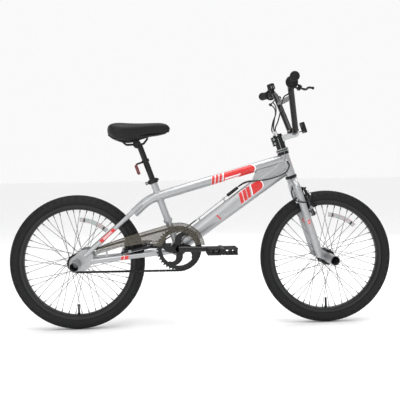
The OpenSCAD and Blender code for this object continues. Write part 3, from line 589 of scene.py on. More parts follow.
def floor_paint(f):
    grain = f.noise(3, 4)
    base = f.mix(grain, (0.95, 0.95, 0.955), (0.97, 0.97, 0.97))
    return f.fill(base_color=base, roughness=f.follow(grain, 0.6, 0.75))


TRANSFERS = {
    "top_tube_paint": top_tube_marks,
    "down_tube_paint": down_tube_marks,
    "seat_stay_paint": seat_stay_marks,
    "chain_stay_paint": chain_stay_marks,
    "fork_paint": fork_marks,
    "head_tube_paint": head_marks,
}

MAKERS = {
    **{name: partial(plain, **values) for name, values in PLAIN_FINISHES.items()},
    **{name: partial(silver, marks=marks) for name, marks in TRANSFERS.items()},
    "silver_paint": silver,
    "gloss_black": gloss_black,
    "rotor_plate": rotor_plate,
    "peg_steel": peg_steel,
    "tyre_rubber": tyre_rubber,
    "rim_black": rim_black,
    "smoked_guard": smoked,
    "clear_prism": clear_prism,
    "front_prism": partial(prism, low=(0.62, 0.64, 0.66), high=(0.9, 0.91, 0.92), metallic=0.3),
    "red_prism": partial(prism, low=(0.06, 0.001, 0.0015), high=(0.20, 0.004, 0.005)),
    "saddle_vinyl": vinyl,
    "floor_paint": floor_paint,
}

NODE_FINISH = {
    "silver_paint": ("seat_tube", "bottom_bracket_shell", "head_gusset", "rear_dropouts", "frame_fittings",
                     "fork_fittings"),
    "head_tube_paint": ("head_tube",),
    "top_tube_paint": ("top_tube",),
    "down_tube_paint": ("down_tube",),
    "seat_stay_paint": ("seat_stays",),
    "chain_stay_paint": ("chain_stays",),
    "fork_paint": ("fork",),
    "gloss_black": ("handlebar", "crank", "chainring", "seat_post"),
    "satin_black": ("seat_clamp", "bearing_cups", "headset_spacers", "stem_clamps", "lever_brackets",
                    "brake_lever_left", "brake_lever_right", "front_brake_arm_left",
                          "front_brake_arm_right",
                    "rear_brake_arm_left", "rear_brake_arm_right", "front_hub", "rear_hub"),
    "rim_black": ("front_rim", "rear_rim"),
    "machined_steel": ("freewheel", "rear_axle", "front_axle", "rotor_lower_plate"),
    "peg_steel": ("rear_pegs", "front_pegs"),
    "spoke_steel": ("front_spokes", "rear_spokes"),
    "bright_alloy": ("stem",),
    "rotor_plate": ("rotor_upper_plate",),
    "chain_steel": ("chain",),
    "soft_rubber": ("front_inner_tube", "rear_inner_tube"),
    "smoked_guard": ("chain_guard",),
    "moulded_black": ("saddle_base", "front_reflector", "rear_reflector"),
    "clear_prism": ("front_wheel_reflector", "rear_wheel_reflector"),
}

# ---------------------------------------------------------------- mesh tools


def around(angle):
    """The direction square to the axles at an angle from straight ahead."""
    return Vector((math.cos(angle), 0, math.sin(angle)))


def frame_about(axis):
    """Two directions square to an axis and to each other."""
    axis = axis.normalized()
    side = axis.cross(Z if abs(axis.z) < 0.8 else X).normalized()
    return side, axis.cross(side)


def lathe(bm, at, axis, profile, sides=32, hexes=()):
    """Turns (mm along, mm radius) pairs about an axis; rings listed in hexes are six-sided."""
    axis = axis.normalized()
    u, v = frame_about(axis)
    rings = []
    for i, (h, r) in enumerate(profile):
        if r <= 0:
            rings.append([bm.verts.new(at + axis * h * MM)])
            continue
        ring = []
        for k in range(sides):
            a = math.tau * k / sides
            reach = r
            if i in hexes:
                reach = r * math.cos(math.pi / 6) / math.cos((a % (math.pi / 3)) - math.pi / 6)
            ring.append(bm.verts.new(at + axis * h * MM + (u * math.cos(a) + v * math.sin(a)) * reach * MM))
        rings.append(ring)
    skin(bm, rings)


def skin(bm, rings, closed=False):
    """Joins rings of points into a surface; a ring of one point closes to a tip."""
    pairs = list(zip(rings, rings[1:] + rings[:1] if closed else rings[1:]))
    for a, b in pairs:
        n = max(len(a), len(b))
        for k in range(n):
            m = (k + 1) % n
            if len(a) == 1 and len(b) > 1:
                bm.faces.new((a[0], b[k], b[m]))
            elif len(b) == 1 and len(a) > 1:
                bm.faces.new((a[k], b[0], a[m]))
            elif len(a) > 1:
                bm.faces.new((a[k], b[k], b[m], a[m]))


def tube(bm, path, radius, sides=12, closed=False):
    """A tube along points; radius in mm is a number or a function of 0..1 along it."""
    path = [Vector(p) for p in path]
    count = len(path)
    reach = radius if callable(radius) else (lambda t: radius)
    up = None
    rings = []
    for i, p in enumerate(path):
        if closed:
            way = path[(i + 1) % count] - path[i - 1]
        else:
            way = path[min(i + 1, count - 1)] - path[max(i - 1, 0)]
        way.normalize()
        if up is None:
            up = frame_about(way)[0]
        up = (up - way * up.dot(way)).normalized()
        other = way.cross(up)
        r = reach(i / max(count - 1, 1)) * MM
        rings.append([
            bm.verts.new(p + up * r * math.cos(math.tau * k / sides)
                         + other * r * math.sin(math.tau * k / sides))
            for k in range(sides)
        ])
    skin(bm, rings, closed)
    if not closed:
        bm.faces.new(rings[0][::-1])
        bm.faces.new(rings[-1])


def smooth_path(points, steps=6, closed=False):
    """A rounded path through given points."""
    out = []
    n = len(points)
    last = n if closed else n - 1
    for i in range(last):
        if closed:
            a, b, c, d = (points[(i + k) % n] for k in (-1, 0, 1, 2))
        else:
            a, b, c, d = points[max(i - 1, 0)], points[i], points[i + 1], points[min(i + 2, n - 1)]
        for k in range(steps):
            t = k / steps
            out.append(0.5 * (2 * b + (c - a) * t + (2 * a - 5 * b + 4 * c - d) * t * t
                              + (3 * b - a - 3 * c + d) * t ** 3))
    if not closed:
        out.append(points[-1].copy())
    return out


def slab(bm, at, axes, size, chamfer=1.0):
    """A box with cut edges; axes are its three directions and size is in mm."""
    a, b, c = axes
    sa, sb, sc = (s * MM / 2 for s in size)
    cut = chamfer * MM
    loops = []
    for h, inset in ((-sc, cut), (-sc + cut, 0), (sc - cut, 0), (sc, cut)):
        x, y = sa - inset, sb - inset
        corner = max(cut - inset * 0.5, cut * 0.4)
        outline = [(x - corner, -y), (x, -y + corner), (x, y - corner), (x - corner, y),
                   (-x + corner, y), (-x, y - corner), (-x, -y + corner), (-x + corner, -y)]
        loops.append([bm.verts.new(at + a * p + b * q + c * h) for p, q in outline])
    skin(bm, loops)
    bm.faces.new(loops[0][::-1])
    bm.faces.new(loops[-1])


def cap_screw(bm, at, axis, radius, height):
    """A socket-head screw standing on a face."""
    r, h = radius, height
    lathe(bm, at, axis, [(0, 0), (0, r), (h * 0.8, r), (h, r * 0.82), (h, r * 0.58), (h * 0.35, r * 0.56),
                         (h * 0.35, 0)], sides=24, hexes=(4, 5))


def hex_nut(bm, at, axis, radius, height):
    r, h = radius, height
    lathe(bm, at, axis, [(0, 0), (0, r * 0.9), (h * 0.12, r), (h * 0.88, r), (h, r * 0.88), (h, r * 0.5),
                         (h * 0.8, r * 0.45), (h * 0.8, 0)], sides=24, hexes=(2, 3))


def make(name, bm, finish_name, body, sharp=35):
    """Turns mesh work into a piece that rides on a body."""
    bmesh.ops.recalc_face_normals(bm, faces=bm.faces)
    mesh = bpy.data.meshes.new(name)
    bm.to_mesh(mesh)
    bm.free()
    for face in mesh.polygons:
        face.use_smooth = True
    mesh.set_sharp_from_angle(angle=math.radians(sharp))
    piece = bpy.data.objects.new(name, mesh)
    bpy.context.scene.collection.objects.link(piece)
    mesh.materials.append(finish(finish_name))
    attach(piece, body)
    return piece


# ---------------------------------------------------------------- settings


class BikeSizes(bpy.types.PropertyGroup):
    """Sizes of the detail pieces."""

    knob_height: FloatProperty(
        name="Knob height", description="How far the tread blocks stand out of the tyre",
        default=0.0022, min=0.0, max=0.003, unit="LENGTH")
    knob_rows: IntProperty(
        name="Knob rows", description="Rows of tread blocks across the tyre", default=9, min=5, max=11)
    knobs_round: IntProperty(
        name="Knobs round", description="Tread blocks in each row", default=112, min=60, max=140)
    sleeve_radius: FloatProperty(
        name="Cable radius", description="Radius of the brake cable sleeves",
        default=0.0025, min=0.002, max=0.003, unit="LENGTH")
    grip_radius: FloatProperty(
        name="Grip radius", description="Radius of the grips over their ribs",
        default=0.0155, min=0.014, max=0.0165, unit="LENGTH")
    weld_radius: FloatProperty(
        name="Weld radius", description="Radius of the weld beads between the frame tubes",
        default=0.0026, min=0.001, max=0.004, unit="LENGTH")
    saddle_roundness: FloatProperty(
        name="Saddle roundness", description="How full the saddle's padding is",
        default=0.7, min=0.0, max=1.0, subtype="FACTOR")


class BikeColours(bpy.types.PropertyGroup):
    """Main colours."""

    silver: FloatVectorProperty(
        name="Silver", description="Frame and fork paint", default=(0.40, 0.405, 0.415), subtype="COLOR",
        min=0, max=1)
    red: FloatVectorProperty(
        name="Red", description="Transfers on the frame", default=(0.70, 0.022, 0.02), subtype="COLOR",
        min=0, max=1)
    black: FloatVectorProperty(
        name="Black", description="Gloss black parts", default=(0.004, 0.004, 0.0045), subtype="COLOR",
        min=0, max=1)


class BikeOperator:
    """What every step of the bike shares."""

    bl_options = {"REGISTER", "UNDO"}

    @property
    def sizes(self):
        return bpy.context.scene.bike_sizes


# ---------------------------------------------------------------- stage


FLOOR_REACH = 40
# lamp: where it stands, the height it aims at, its width in metres and its power in watts
LAMPS = {
    "overhead": ((0.0, -0.5, 3.0), 0.35, 2.2, 44),
    "key": ((-1.6, -3.4, 2.0), 0.4, 1.2, 26),
    "rim": ((1.5, 2.8, 2.0), 0.4, 1.4, 22),
}
# white walls up to eye height, a grey band above them and a bright ceiling
ROOM = ((0.0, 0.68), (0.27, 0.68), (0.38, 0.20), (0.60, 0.24), (0.78, 1.0))
ROOM_LIGHT = 1.4
CAMERA_AT = (-0.207424, -2.846837, 0.585487)
CAMERA_TURN = (4.014, 2.259, -0.943)
LENS = 68.40
SENSOR = 36
SEE_FAR = 200


class BIKE_OT_stage(BikeOperator, bpy.types.Operator):
    """Lay the floor, light the studio and set the camera"""

    bl_idname = "bike.stage"
    bl_label = "Stage"

    def execute(self, context):
        scene = context.scene
        bm = bmesh.new()
        bm.faces.new([bm.verts.new((x * FLOOR_REACH, y * FLOOR_REACH, 0))
                      for x, y in ((-1, -1), (1, -1), (1, 1), (-1, 1))])
        mesh = bpy.data.meshes.new("floor")
        bm.to_mesh(mesh)
        bm.free()
        floor = bpy.data.objects.new("floor", mesh)
        mesh.materials.append(finish("floor_paint"))
        scene.collection.objects.link(floor)

        scene.view_settings.view_transform = "Standard"
        scene.world = self.studio()
        for name, setting in LAMPS.items():
            self.lamp(name, *setting)

        camera = bpy.data.objects.new("camera", bpy.data.cameras.new("camera"))
        camera.data.lens = LENS
        camera.data.sensor_width = SENSOR
        camera.data.clip_end = SEE_FAR
        yaw, pitch, roll = (math.radians(turn) for turn in CAMERA_TURN)
        ahead = Vector((math.sin(yaw) * math.cos(pitch), math.cos(yaw) * math.cos(pitch), -math.sin(pitch)))
        level = Vector((math.cos(yaw), -math.sin(yaw), 0))
        lift = level.cross(ahead)
        right = math.cos(roll) * level + math.sin(roll) * lift
        top = -math.sin(roll) * level + math.cos(roll) * lift
        turn = Matrix((right, top, -ahead)).transposed().to_4x4()
        camera.matrix_world = Matrix.Translation(CAMERA_AT) @ turn
        scene.collection.objects.link(camera)
        scene.camera = camera
        return {"FINISHED"}

    def studio(self):
        world = bpy.data.worlds.new("studio")
        world.use_nodes = True
        room = NodeTree(world.node_tree)
        place = room.node("ShaderNodeTexCoord", out="Generated")
        height = room.node("ShaderNodeSeparateXYZ", inputs={0: place}, out="Z")
        light = room.node(
            "ShaderNodeValToRGB", inputs={0: height}, stops=[(at, (level,) * 3) for at, level in ROOM])
        shader = room.tree.nodes["Background"]
        room.tree.links.new(light.socket, shader.inputs[0])
        shader.inputs[1].default_value = ROOM_LIGHT
        return world

    def lamp(self, name, at, aim, size, power):
        data = bpy.data.lights.new(name, "AREA")
        data.shape = "SQUARE"
        data.size = size
        data.energy = power
        lamp = bpy.data.objects.new(name, data)
        lamp.location = at
        lamp.rotation_euler = (Vector((0, 0, aim)) - Vector(at)).to_track_quat("-Z", "Y").to_euler()
        bpy.context.scene.collection.objects.link(lamp)


# ---------------------------------------------------------------- finishes on the carried-over nodes


class BIKE_OT_paint(BikeOperator, bpy.types.Operator):
    """Give every carried-over node its finish"""

    bl_idname = "bike.paint"
    bl_label = "Finishes"

    def execute(self, context):
        for name, members in NODE_FINISH.items():
            for node in members:
                data = nodes[node].data
                data.materials.clear()
                data.materials.append(finish(name))
        return {"FINISHED"}


# ---------------------------------------------------------------- wheels


# the tyre's section: its middle's distance from the axle and its radius, in mm
TYRE_MIDDLE = 225.5
TYRE_SECTION = 24.45


def tyre_arc(reach, turn):
    """A point of the tyre's section: distance from the axle and sideways, in mm."""
    return TYRE_MIDDLE + reach * math.cos(turn), reach * math.sin(turn)


class BIKE_OT_tyres(BikeOperator, bpy.types.Operator):
    """Mould the two tyres with their tread blocks and side ribs"""

    bl_idname = "bike.tyres"
    bl_label = "Tyres"

    def execute(self, context):
        for name, body, axle in (("front", "front_wheel", FRONT_AXLE), ("rear", "rear_wheel", REAR_AXLE)):
            bm = bmesh.new()
            self.carcass(bm, axle)
            self.tread(bm, axle)
            piece = make(f"{name}_tyre_moulded", bm, "tyre_rubber", body, sharp=28)
            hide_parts(f"{name}_tyre")
        return {"FINISHED"}

    def carcass(self, bm, axle):
        outer = TYRE_SECTION - self.sizes.knob_height * PER_METRE
        ribs = {9: 0.7, 11: 0.7, 14: 0.5}
        profile = [(204.5, 9.2), (204.5, 12.0), (213.4, 12.2), (214.6, 14.6)]
        for k in range(0, 31):
            angle = math.radians(118 - k * 236 / 30)
            swell = ribs.get(k, ribs.get(30 - k, 0))
            near = min(k, 30 - k)
            reach = outer + (swell if near < 9 else 0) + (0.6 if near in (2, 4) else 0)
            profile.append(tyre_arc(reach, angle))
        profile += [(214.6, -14.6), (213.4, -12.2), (204.5, -12.0), (204.5, -9.2), (213.0, -9.0)]
        for k in range(0, 19):
            angle = math.radians(-112 + k * 224 / 18)
            profile.append(tyre_arc(20.6, angle))
        profile.append((213.0, 9.0))
        rings = []
        count = 160
        for i in range(count):
            a = math.tau * i / count
            out = around(a)
            rings.append([bm.verts.new(axle + out * r * MM + Y * y * MM) for r, y in profile])
        skin(bm, rings, closed=True)

    def tread(self, bm, axle):
        tall = self.sizes.knob_height * PER_METRE
        rows = self.sizes.knob_rows
        count = self.sizes.knobs_round
        base = TYRE_SECTION - tall - 0.15
        for row in range(rows):
            middle = (row - (rows - 1) / 2) * math.radians(14.2)
            outermost = row in (0, rows - 1)
            half_wide = math.radians(5.2 if not outermost else 6.0)
            half_long = math.pi / count * (0.62 if row % 2 else 0.72)
            shift = math.pi / count * (row % 2)
            for k in range(count):
                a = math.tau * k / count + shift
                if outermost and k % 2:
                    continue
                corners = []
                for reach, trim in ((base, 1.0), (base + 0.15 + tall, 0.8)):
                    ring = []
                    for da, dw in ((-1, -1), (1, -1), (1, 1), (-1, 1)):
                        lean = 0.25 * half_long * dw * ((row > rows // 2) - (row < rows // 2))
                        angle = a + da * half_long * trim + lean
                        r, y = tyre_arc(reach, middle + dw * half_wide * trim)
                        out = around(angle)
                        ring.append(bm.verts.new(axle + out * r * MM + Y * y * MM))
                    corners.append(ring)
                skin(bm, corners)
                bm.faces.new(corners[1])


class BIKE_OT_wheel_trim(BikeOperator, bpy.types.Operator):
    """Add hub caps, valve caps and reflector clips to the wheels"""

    bl_idname = "bike.wheel_trim"
    bl_label = "Wheel trim"

    def execute(self, context):
        for name, body, axle, end in (("front", "front_wheel", FRONT_AXLE, 46.2),
                                      ("rear", "rear_wheel", REAR_AXLE, 51.2)):
            bm = bmesh.new()
            for side in (-1, 1):
                lathe(bm, axle + Y * side * (end - 7.5) * MM, Y * side,
                      [(0, 13.0), (0, 14.4), (3.5, 14.4), (4.5, 13.4), (6.8, 13.0), (7.4, 11.2), (7.4, 8.2),
                       (6.2, 8.2)] if name == "front" or side > 0 else
                      [(0, 17.0), (0, 18.4), (1.2, 18.4), (2.0, 17.4), (2.0, 17.0)], sides=40)
            lathe(bm, axle - Y * 5 * MM, Y, [(0, 15.9), (1, 17.2), (3, 17.2), (4, 16.4), (6, 16.4),
                  (7, 17.2),
                                             (9, 17.2), (10, 15.9)], sides=40)
            make(f"{name}_hub_caps", bm, "satin_black", body)
            bm = bmesh.new()
            lathe(bm, axle - Z * 0.1705, Z, [(0, 0), (0, 2.6), (0.6, 3.3), (1.4, 3.6), (11.0, 4.3),
                  (12.0, 4.5), (12.0, 4.1)], sides=18)
            lathe(bm, axle - Z * 0.1945, Z, [(0, 4.1), (0, 6.4), (3.0, 6.4), (3.6, 5.6), (3.6, 4.1)],
                  sides=24,
                  hexes=(1, 2))
            make(f"{name}_valve_cap", bm, "soft_rubber", body)
            bm = bmesh.new()
            for turn in (52, 80):
                out = around(math.radians(turn))
                along = Y.cross(out)
                slab(bm, axle + out * 0.159 - Y * 0.0104, (along, out, Y), (5, 13, 2.4), 0.6)
            make(f"{name}_reflector_clips", bm, "moulded_black", body)
        return {"FINISHED"}


# ---------------------------------------------------------------- saddle


class BIKE_OT_saddle(BikeOperator, bpy.types.Operator):
    """Shape the padded saddle, its piping and its clamp bolt"""

    bl_idname = "bike.saddle"
    bl_label = "Saddle"

    # from the tail to the nose: x, half width, crown height, widest height, lower edge height
    STATIONS = (
        (121.0, 30, 750.0, 737.0, 722.0),
        (126.0, 50, 758.0, 737.0, 714.0),
        (138.0, 66, 763.5, 736.0, 705.0),
        (158.0, 73, 766.0, 733.0, 696.5),
        (178.0, 72, 765.2, 730.0, 690.8),
        (196.0, 67, 764.0, 728.5, 689.8),
        (216.0, 58, 763.2, 729.5, 692.5),
        (238.0, 47, 762.8, 732.5, 699.5),
        (262.0, 36, 763.4, 736.5, 707.0),
        (288.0, 28, 764.4, 740.0, 714.5),
        (312.0, 23.5, 764.4, 742.0, 719.5),
        (330.0, 20, 762.2, 742.5, 722.5),
        (343.0, 14.5, 757.0, 742.0, 726.5),
        (350.0, 6.5, 749.0, 741.0, 733.0),
    )

    def section(self, station, sides=28):
        x, wide, crown, mid, low = station
        full = self.sizes.saddle_roundness
        out = []
        for k in range(sides):
            a = math.tau * k / sides
            c, s = math.cos(a), math.sin(a)
            power = 2 / (2 + full * 0.9)
            y = wide * math.copysign(abs(c) ** power, c)
            if s >= 0:
                z = mid + (crown - mid) * abs(s) ** (power * 0.96)
                z -= 2.2 * math.exp(-(y / 9) ** 2) * (1 if 150 < x < 300 else 0.3)
            else:
                z = mid - (mid - low) * abs(s) ** (power * 0.9)
            out.append(bike(x, y, z))
        return out

    def execute(self, context):
        bm = bmesh.new()
        rings = []
        for station in self.STATIONS:
            rings.append([bm.verts.new(p) for p in self.section(station)])
        tail = bm.verts.new(bike(118.6, 0, 738.5))
        nose = bm.verts.new(bike(352.0, 0, 741.0))
        skin(bm, [[tail]] + rings + [[nose]])
        piece = make("saddle_padded_cover", bm, "saddle_vinyl", "seat", sharp=80)
        rounded = piece.modifiers.new("rounded", "SUBSURF")
        rounded.levels = 2
        rounded.render_levels = 2
        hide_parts("saddle_cover")

        # the moulded lip that the cover is stretched over, following its lower edge
        bm = bmesh.new()
        loop = []
        for side in (1, -1):
            part = [bike(s[0], side * s[1] * 0.62, s[4] + 3.4) for s in self.STATIONS[1:-1]]
            loop += part if side > 0 else part[::-1]
        loop.insert(len(self.STATIONS) - 2, bike(347.5, 0, 729.5))
        loop.append(bike(122.5, 0, 719.5))
        tube(bm, smooth_path(loop, 5, closed=True), 2.0, sides=10, closed=True)
        make("saddle_lip", bm, "moulded_black", "seat")

        bm = bmesh.new()
        clamp = bike(228, 0, 685)
        for side in (1, -1):
            for k in range(24):
                a = math.tau * k / 24
                out = around(a)
                slab(bm, clamp + out * 0.0132 + Y * side * 0.0268, (out, Y, out.cross(Y)), (3.6, 1.6, 1.6),
                      0.3)
            hex_nut(bm, clamp + Y * side * 0.027, Y * side, 8, 6)
        lathe(bm, clamp - Y * 0.036, Y, [(0, 0), (0, 3.6), (0.8, 4), (71.2, 4), (72, 3.6), (72, 0)],
              sides=18)
        make("saddle_clamp_bolt", bm, "satin_black", "seat")
        return {"FINISHED"}


# ---------------------------------------------------------------- grips, bars and levers


class BIKE_OT_grips(BikeOperator, bpy.types.Operator):
    """Mould the two ribbed grips with their flanges and end plugs"""

    bl_idname = "bike.grips"
    bl_label = "Grips"

    def execute(self, context):
        full = self.sizes.grip_radius * PER_METRE
        bm = bmesh.new()
        for side in (1, -1):
            root = bar_at(225, side)
            way = (bar_at(353, side) - root).normalized()
            length = (bar_at(353) - bar_at(225)).length * PER_METRE
            profile = [(0, 11.3), (0, 20.6), (0.8, 21.8), (2.8, 22.0), (4.2, 20.6), (4.6, 17.0),
                  (6.0, full - 1.6)]
            along = 7.0
            while along < length - 13:
                profile += [(along, full - 1.7), (along + 0.5, full - 0.4), (along + 2.0, full - 0.2),
                            (along + 2.5, full - 1.7)]
                along += 3.6
            profile += [(length - 10, full - 1.2), (length - 8.5, full + 1.0), (length - 2.5, full + 1.2),
                        (length - 0.8, full), (length, full - 2.5), (length - 0.4, 6.0), (length, 5.0),
                        (length, 0)]
            lathe(bm, root, way, profile, sides=40)
        piece = make("ribbed_grips", bm, "soft_rubber", "steering", sharp=50)
        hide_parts("grips")
        return {"FINISHED"}


def lever_place(x, y, z, side=1):
    """A place in a lever's frame: out from the bar, to the side and square to both, in mm."""
    out = Vector((LEVER_AXIS.z, 0, -LEVER_AXIS.x))
    p = bar_at(205) + (x * out + z * LEVER_AXIS) * MM
    return Vector((p.x, side * (p.y + y * MM), p.z))


class BIKE_OT_levers(BikeOperator, bpy.types.Operator):
    """Add the screws, barrels and blade ends of the two brake levers"""

    bl_idname = "bike.levers"
    bl_label = "Lever details"

    def execute(self, context):
        out = Vector((LEVER_AXIS.z, 0, -LEVER_AXIS.x))
        for side, name in ((1, "left"), (-1, "right")):
            bm = bmesh.new()
            cap_screw(bm, lever_place(32, 0, 8.6, side), LEVER_AXIS, 4.2, 2.6)
            hex_nut(bm, lever_place(32, 0, -8.6, side), -LEVER_AXIS, 4.2, 3.0)
            for y in (-3.5, 3.5):
                cap_screw(bm, lever_place(-2 + y * 0.2, y, -14.6, side), -LEVER_AXIS, 2.6, 2.2)
            make(f"lever_screws_{name}", bm, "machined_steel", "steering")
            bm = bmesh.new()
            lathe(bm, lever_place(19.5, -19.5, 0, side), -Y * side,
                  [(-12, 3.7), (-12, 4.8), (-7.5, 4.8), (-7, 4.0), (-6.4, 4.0), (-6, 5.0), (-0.6, 5.0),
                        (0, 4.4),
                   (0, 3.4), (4.5, 3.2), (5.5, 2.7)], sides=20)
            slab(bm, lever_place(-1, 0, -12.5, side), (out, Y, LEVER_AXIS), (16, 13, 5), 1.2)
            make(f"lever_barrel_{name}", bm, "satin_black", "steering")
            bm = bmesh.new()
            body = f"{name}_lever"
            path = smooth_path([lever_place(*p, side) for p in
                                ((32, 0, 0), (48, 18, 0), (52, 40, 0), (50, 70, 0), (53, 95, 0),
                                (60, 110, 0))], 5)
            tube(bm, path[4:], lambda t: 4.3 - 0.5 * t + 1.1 * max(0, t - 0.9) * 8, sides=14)
            lathe(bm, path[-1] - (path[-1] - path[-2]).normalized() * 0.003, (path[-1] - path[-2]),
                  [(0, 3.6), (1.2, 4.8), (3.4, 5.2), (5.4, 4.4), (6.4, 2.2), (6.6, 0)], sides=16)
            make(f"lever_blade_grip_{name}", bm, "satin_black", body)
        return {"FINISHED"}


class BIKE_OT_bell(BikeOperator, bpy.types.Operator):
    """Turn the bell with its two light bands, strap and thumb striker"""

    bl_idname = "bike.bell"
    bl_label = "Bell"

    def execute(self, context):
        seat = bar_at(186)
        up = (Quaternion(Y, math.radians(-16)) @ Z).normalized()
        along = (bar_at(191) - bar_at(181)).normalized()
        bm = bmesh.new()
        lathe(bm, seat - along * 0.0048, along, [(0, 11.2), (0, 13.6), (0.6, 14.0), (9.0, 14.0),
              (9.6, 13.6), (9.6, 11.2)],
              sides=40)
        slab(bm, seat - up * 0.015, (along, up.cross(along), up), (9, 8, 6), 1.0)
        lathe(bm, seat + up * 0.012, up, [(0, 5.5), (0, 9.0), (5, 9.5), (7.5, 13.5), (8.5, 15.2),
              (10, 15.8), (26, 15.6),
                                         (30.2, 14.8), (32.0, 12.4), (32.4, 4.0), (32.8, 3.6), (33.4, 2.6),
                                         (33.4, 0)],
              sides=48)
        piece = make("bell_dome", bm, "gloss_black", "steering")
        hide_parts("bell")
        bm = bmesh.new()
        for turn in (78, 106, 258, 286):
            out = Quaternion(up, math.radians(turn)) @ up.cross(along)
            slab(bm, seat + up * 0.029 + out * 0.0157, (out, up, out.cross(up)), (0.8, 11, 1.6), 0.25)
        tube(bm, smooth_path([seat + up * 0.018 + along * 0.004, seat + up * 0.020 - X * 0.012,
                              seat + up * 0.021 - X * 0.024, seat + up * 0.0195 - X * 0.033], 5), 1.2,
                                    sides=10)
        make("bell_bands", bm, "bright_alloy", "steering")
        return {"FINISHED"}


class BIKE_OT_cockpit(BikeOperator, bpy.types.Operator):
    """Add stem bolts, clamp bolts, spacer lines, cable adjusters and the grey crossbar sleeve"""

    bl_idname = "bike.cockpit"
    bl_label = "Cockpit"

    def execute(self, context):
        bm = bmesh.new()
        for n in (61.6 - 15.2, 61.6 + 15.2):
            for y in (-15, 15):
                cap_screw(bm, steered(n, y, 492.2), UP_STEER, 3.9, 4.0)
        for s in (467, 483):
            for side in (-1, 1):
                cap_screw(bm, steered(-20, side * 14.4, s), Y * side, 4.6, 4.0)
        lathe(bm, steered(0, 0, 497.2), UP_STEER, [(0, 4.2), (0, 8.6), (1.6, 8.4), (2.2, 7.6), (2.2, 4.2)],
              sides=32,
              hexes=(1, 2))
        make("stem_bolts", bm, "machined_steel", "steering")
        bm = bmesh.new()
        for y in (-15, 15):
            for n in (61.6 - 15.2, 61.6 + 15.2):
                slab(bm, steered(n, y, 488.8), (AHEAD, Y, UP_STEER), (9.5, 11, 6.6), 1.4)
        for low in (429.2, 438.7, 448.2):
            lathe(bm, steered(0, 0, low), UP_STEER, [(0, 16.8), (0.4, 17.6), (8.4, 17.6), (8.8, 16.8)],
                  sides=48)
        make("stem_cap_lugs", bm, "satin_black", "steering")
        bm = bmesh.new()
        for y in (-27, 27):
            lathe(bm, steered(-6, y, 492.3), UP_STEER, [(0, 3.4), (0, 5.4), (5.5, 5.4), (6.1, 4.2),
                  (10.5, 4.2), (11.0, 3.6),
                                                       (15.0, 3.3), (15.5, 2.7)], sides=20, hexes=(1, 2))
        make("rotor_adjusters", bm, "bright_alloy", "steering")
        bm = bmesh.new()
        lathe(bm, steered(0, 0, 419.0), UP_STEER, [(0, 21.3), (0.5, 22.3), (3.0, 22.3), (3.8, 21.4),
              (5.4, 21.4), (6.2, 22.3),
                                                 (8.2, 22.3), (9.0, 20.5), (9.0, 18.2)], sides=56)
        lathe(bm, steered(0, 0, 324.6), UP_STEER, [(0, 18.2), (0, 21.4), (1.0, 22.3), (3.0, 22.3),
              (3.7, 21.4), (5.2, 21.4),
                                                 (6.0, 22.3), (8.2, 22.3), (9.0, 21.3)], sides=56)
        make("headset_rings", bm, "satin_black", "frame")
        # the crossbar's grey sleeve
        bm = bmesh.new()
        low, high = BAR_TOP, steered(61.6, 48, 485.4)
        mid = high.lerp(low, 124 / 165)
        long = 2 * (mid.y * PER_METRE - 9.5)
        lathe(bm, Vector((mid.x, -mid.y + 0.0095, mid.z)), Y,
              [(0, 8.0), (0.5, 8.8), (2, 9.1), (long - 2, 9.1), (long - 0.5, 8.8), (long, 8.0)], sides=28)
        make("crossbar_sleeve", bm, "spoke_steel", "steering")
        bm = bmesh.new()
        slab(bm, steered(104.5, 0, 490), (UP_STEER, Y, AHEAD), (42, 54, 8), 2.0)
        make("front_reflector_shell", bm, "moulded_black", "steering")
        bm = bmesh.new()
        slab(bm, steered(108.6, 0, 490), (UP_STEER, Y, AHEAD), (36, 48, 2.0), 0.8)
        make("front_reflector_lens", bm, "front_prism", "steering")
        return {"FINISHED"}


# ---------------------------------------------------------------- cables


def routes():
    """Each brake cable's points; the same routes as its solids."""
    lower = [steered(0, 27, 400.5), steered(1, 27.5, 385), bike(795, 30, 598), bike(785, 34, 577),
             bike(762, 36, 562), bike(722, 36, 549), bike(680, 34, 543), bike(650, 29, 540),
                   bike(625, 16, 533),
             bike(606, 5, 521)]
    rear = [bike(449, 0, 401.5), bike(430, 6, 387), bike(408, 17, 370), bike(385, 24, 356),
            bike(358, 27, 342), bike(338, 31, 330), bike(322, 42, 321), bike(306, 54, 317),
            bike(293, 58.6, 316), bike(284, 56.3, 314)]
    upper_left = [steered(-6, 27, 504.5), steered(-8, 28, 520), bike(746, 33, 764), bike(757, 44, 790),
                  bike(760, 68, 814), bike(756, 96, 829), SPLITTER_LOW, SPLITTER]
    upper_right = [steered(-6, -27, 504.5), steered(-10, -27, 522), bike(742, -20, 768), bike(752, 2, 794),
                   bike(758, 32, 816), bike(758, 60, 832), bike(754, 90, 842), SPLITTER_LOW, SPLITTER]
    mouth = bike(789.2, 184, 874.5)
    under_bar = [bike(757, 145, 842), bike(768, 162, 850), bike(781, 172, 863), bike(788.5, 178, 872),
          mouth]
    front = [flip(p, -1) for p in under_bar[::-1]]
    front += [bike(755, -108, 822), bike(758, -60, 795), bike(755, -24, 762), steered(0, -4, 520),
              steered(0, 0, 500), steered(0, 0, 440), steered(0, 0, 380), steered(0, 0, 320),
                    steered(-2, 0, 300),
              steered(-9, -8, 288), steered(-21, -24, 275), steered(-26, -46, 258), steered(-20, -66, 242),
              steered(-3, -74, 231), steered(15, -75, 228), steered(30, -69, 234), steered(37, -61, 244),
              steered(36, -56.2, 252.8)]
    return lower, rear, [upper_left, upper_right, [SPLITTER, *under_bar]], front


def ferrule(bm, at, way):
    """The metal cap on a cable sleeve's end; way points out of the sleeve."""
    lathe(bm, at - way.normalized() * 0.009, way, [(0, 2.6), (0.4, 3.1), (8.2, 3.1), (9.0, 2.5), (9.0, 0)],
          sides=16)


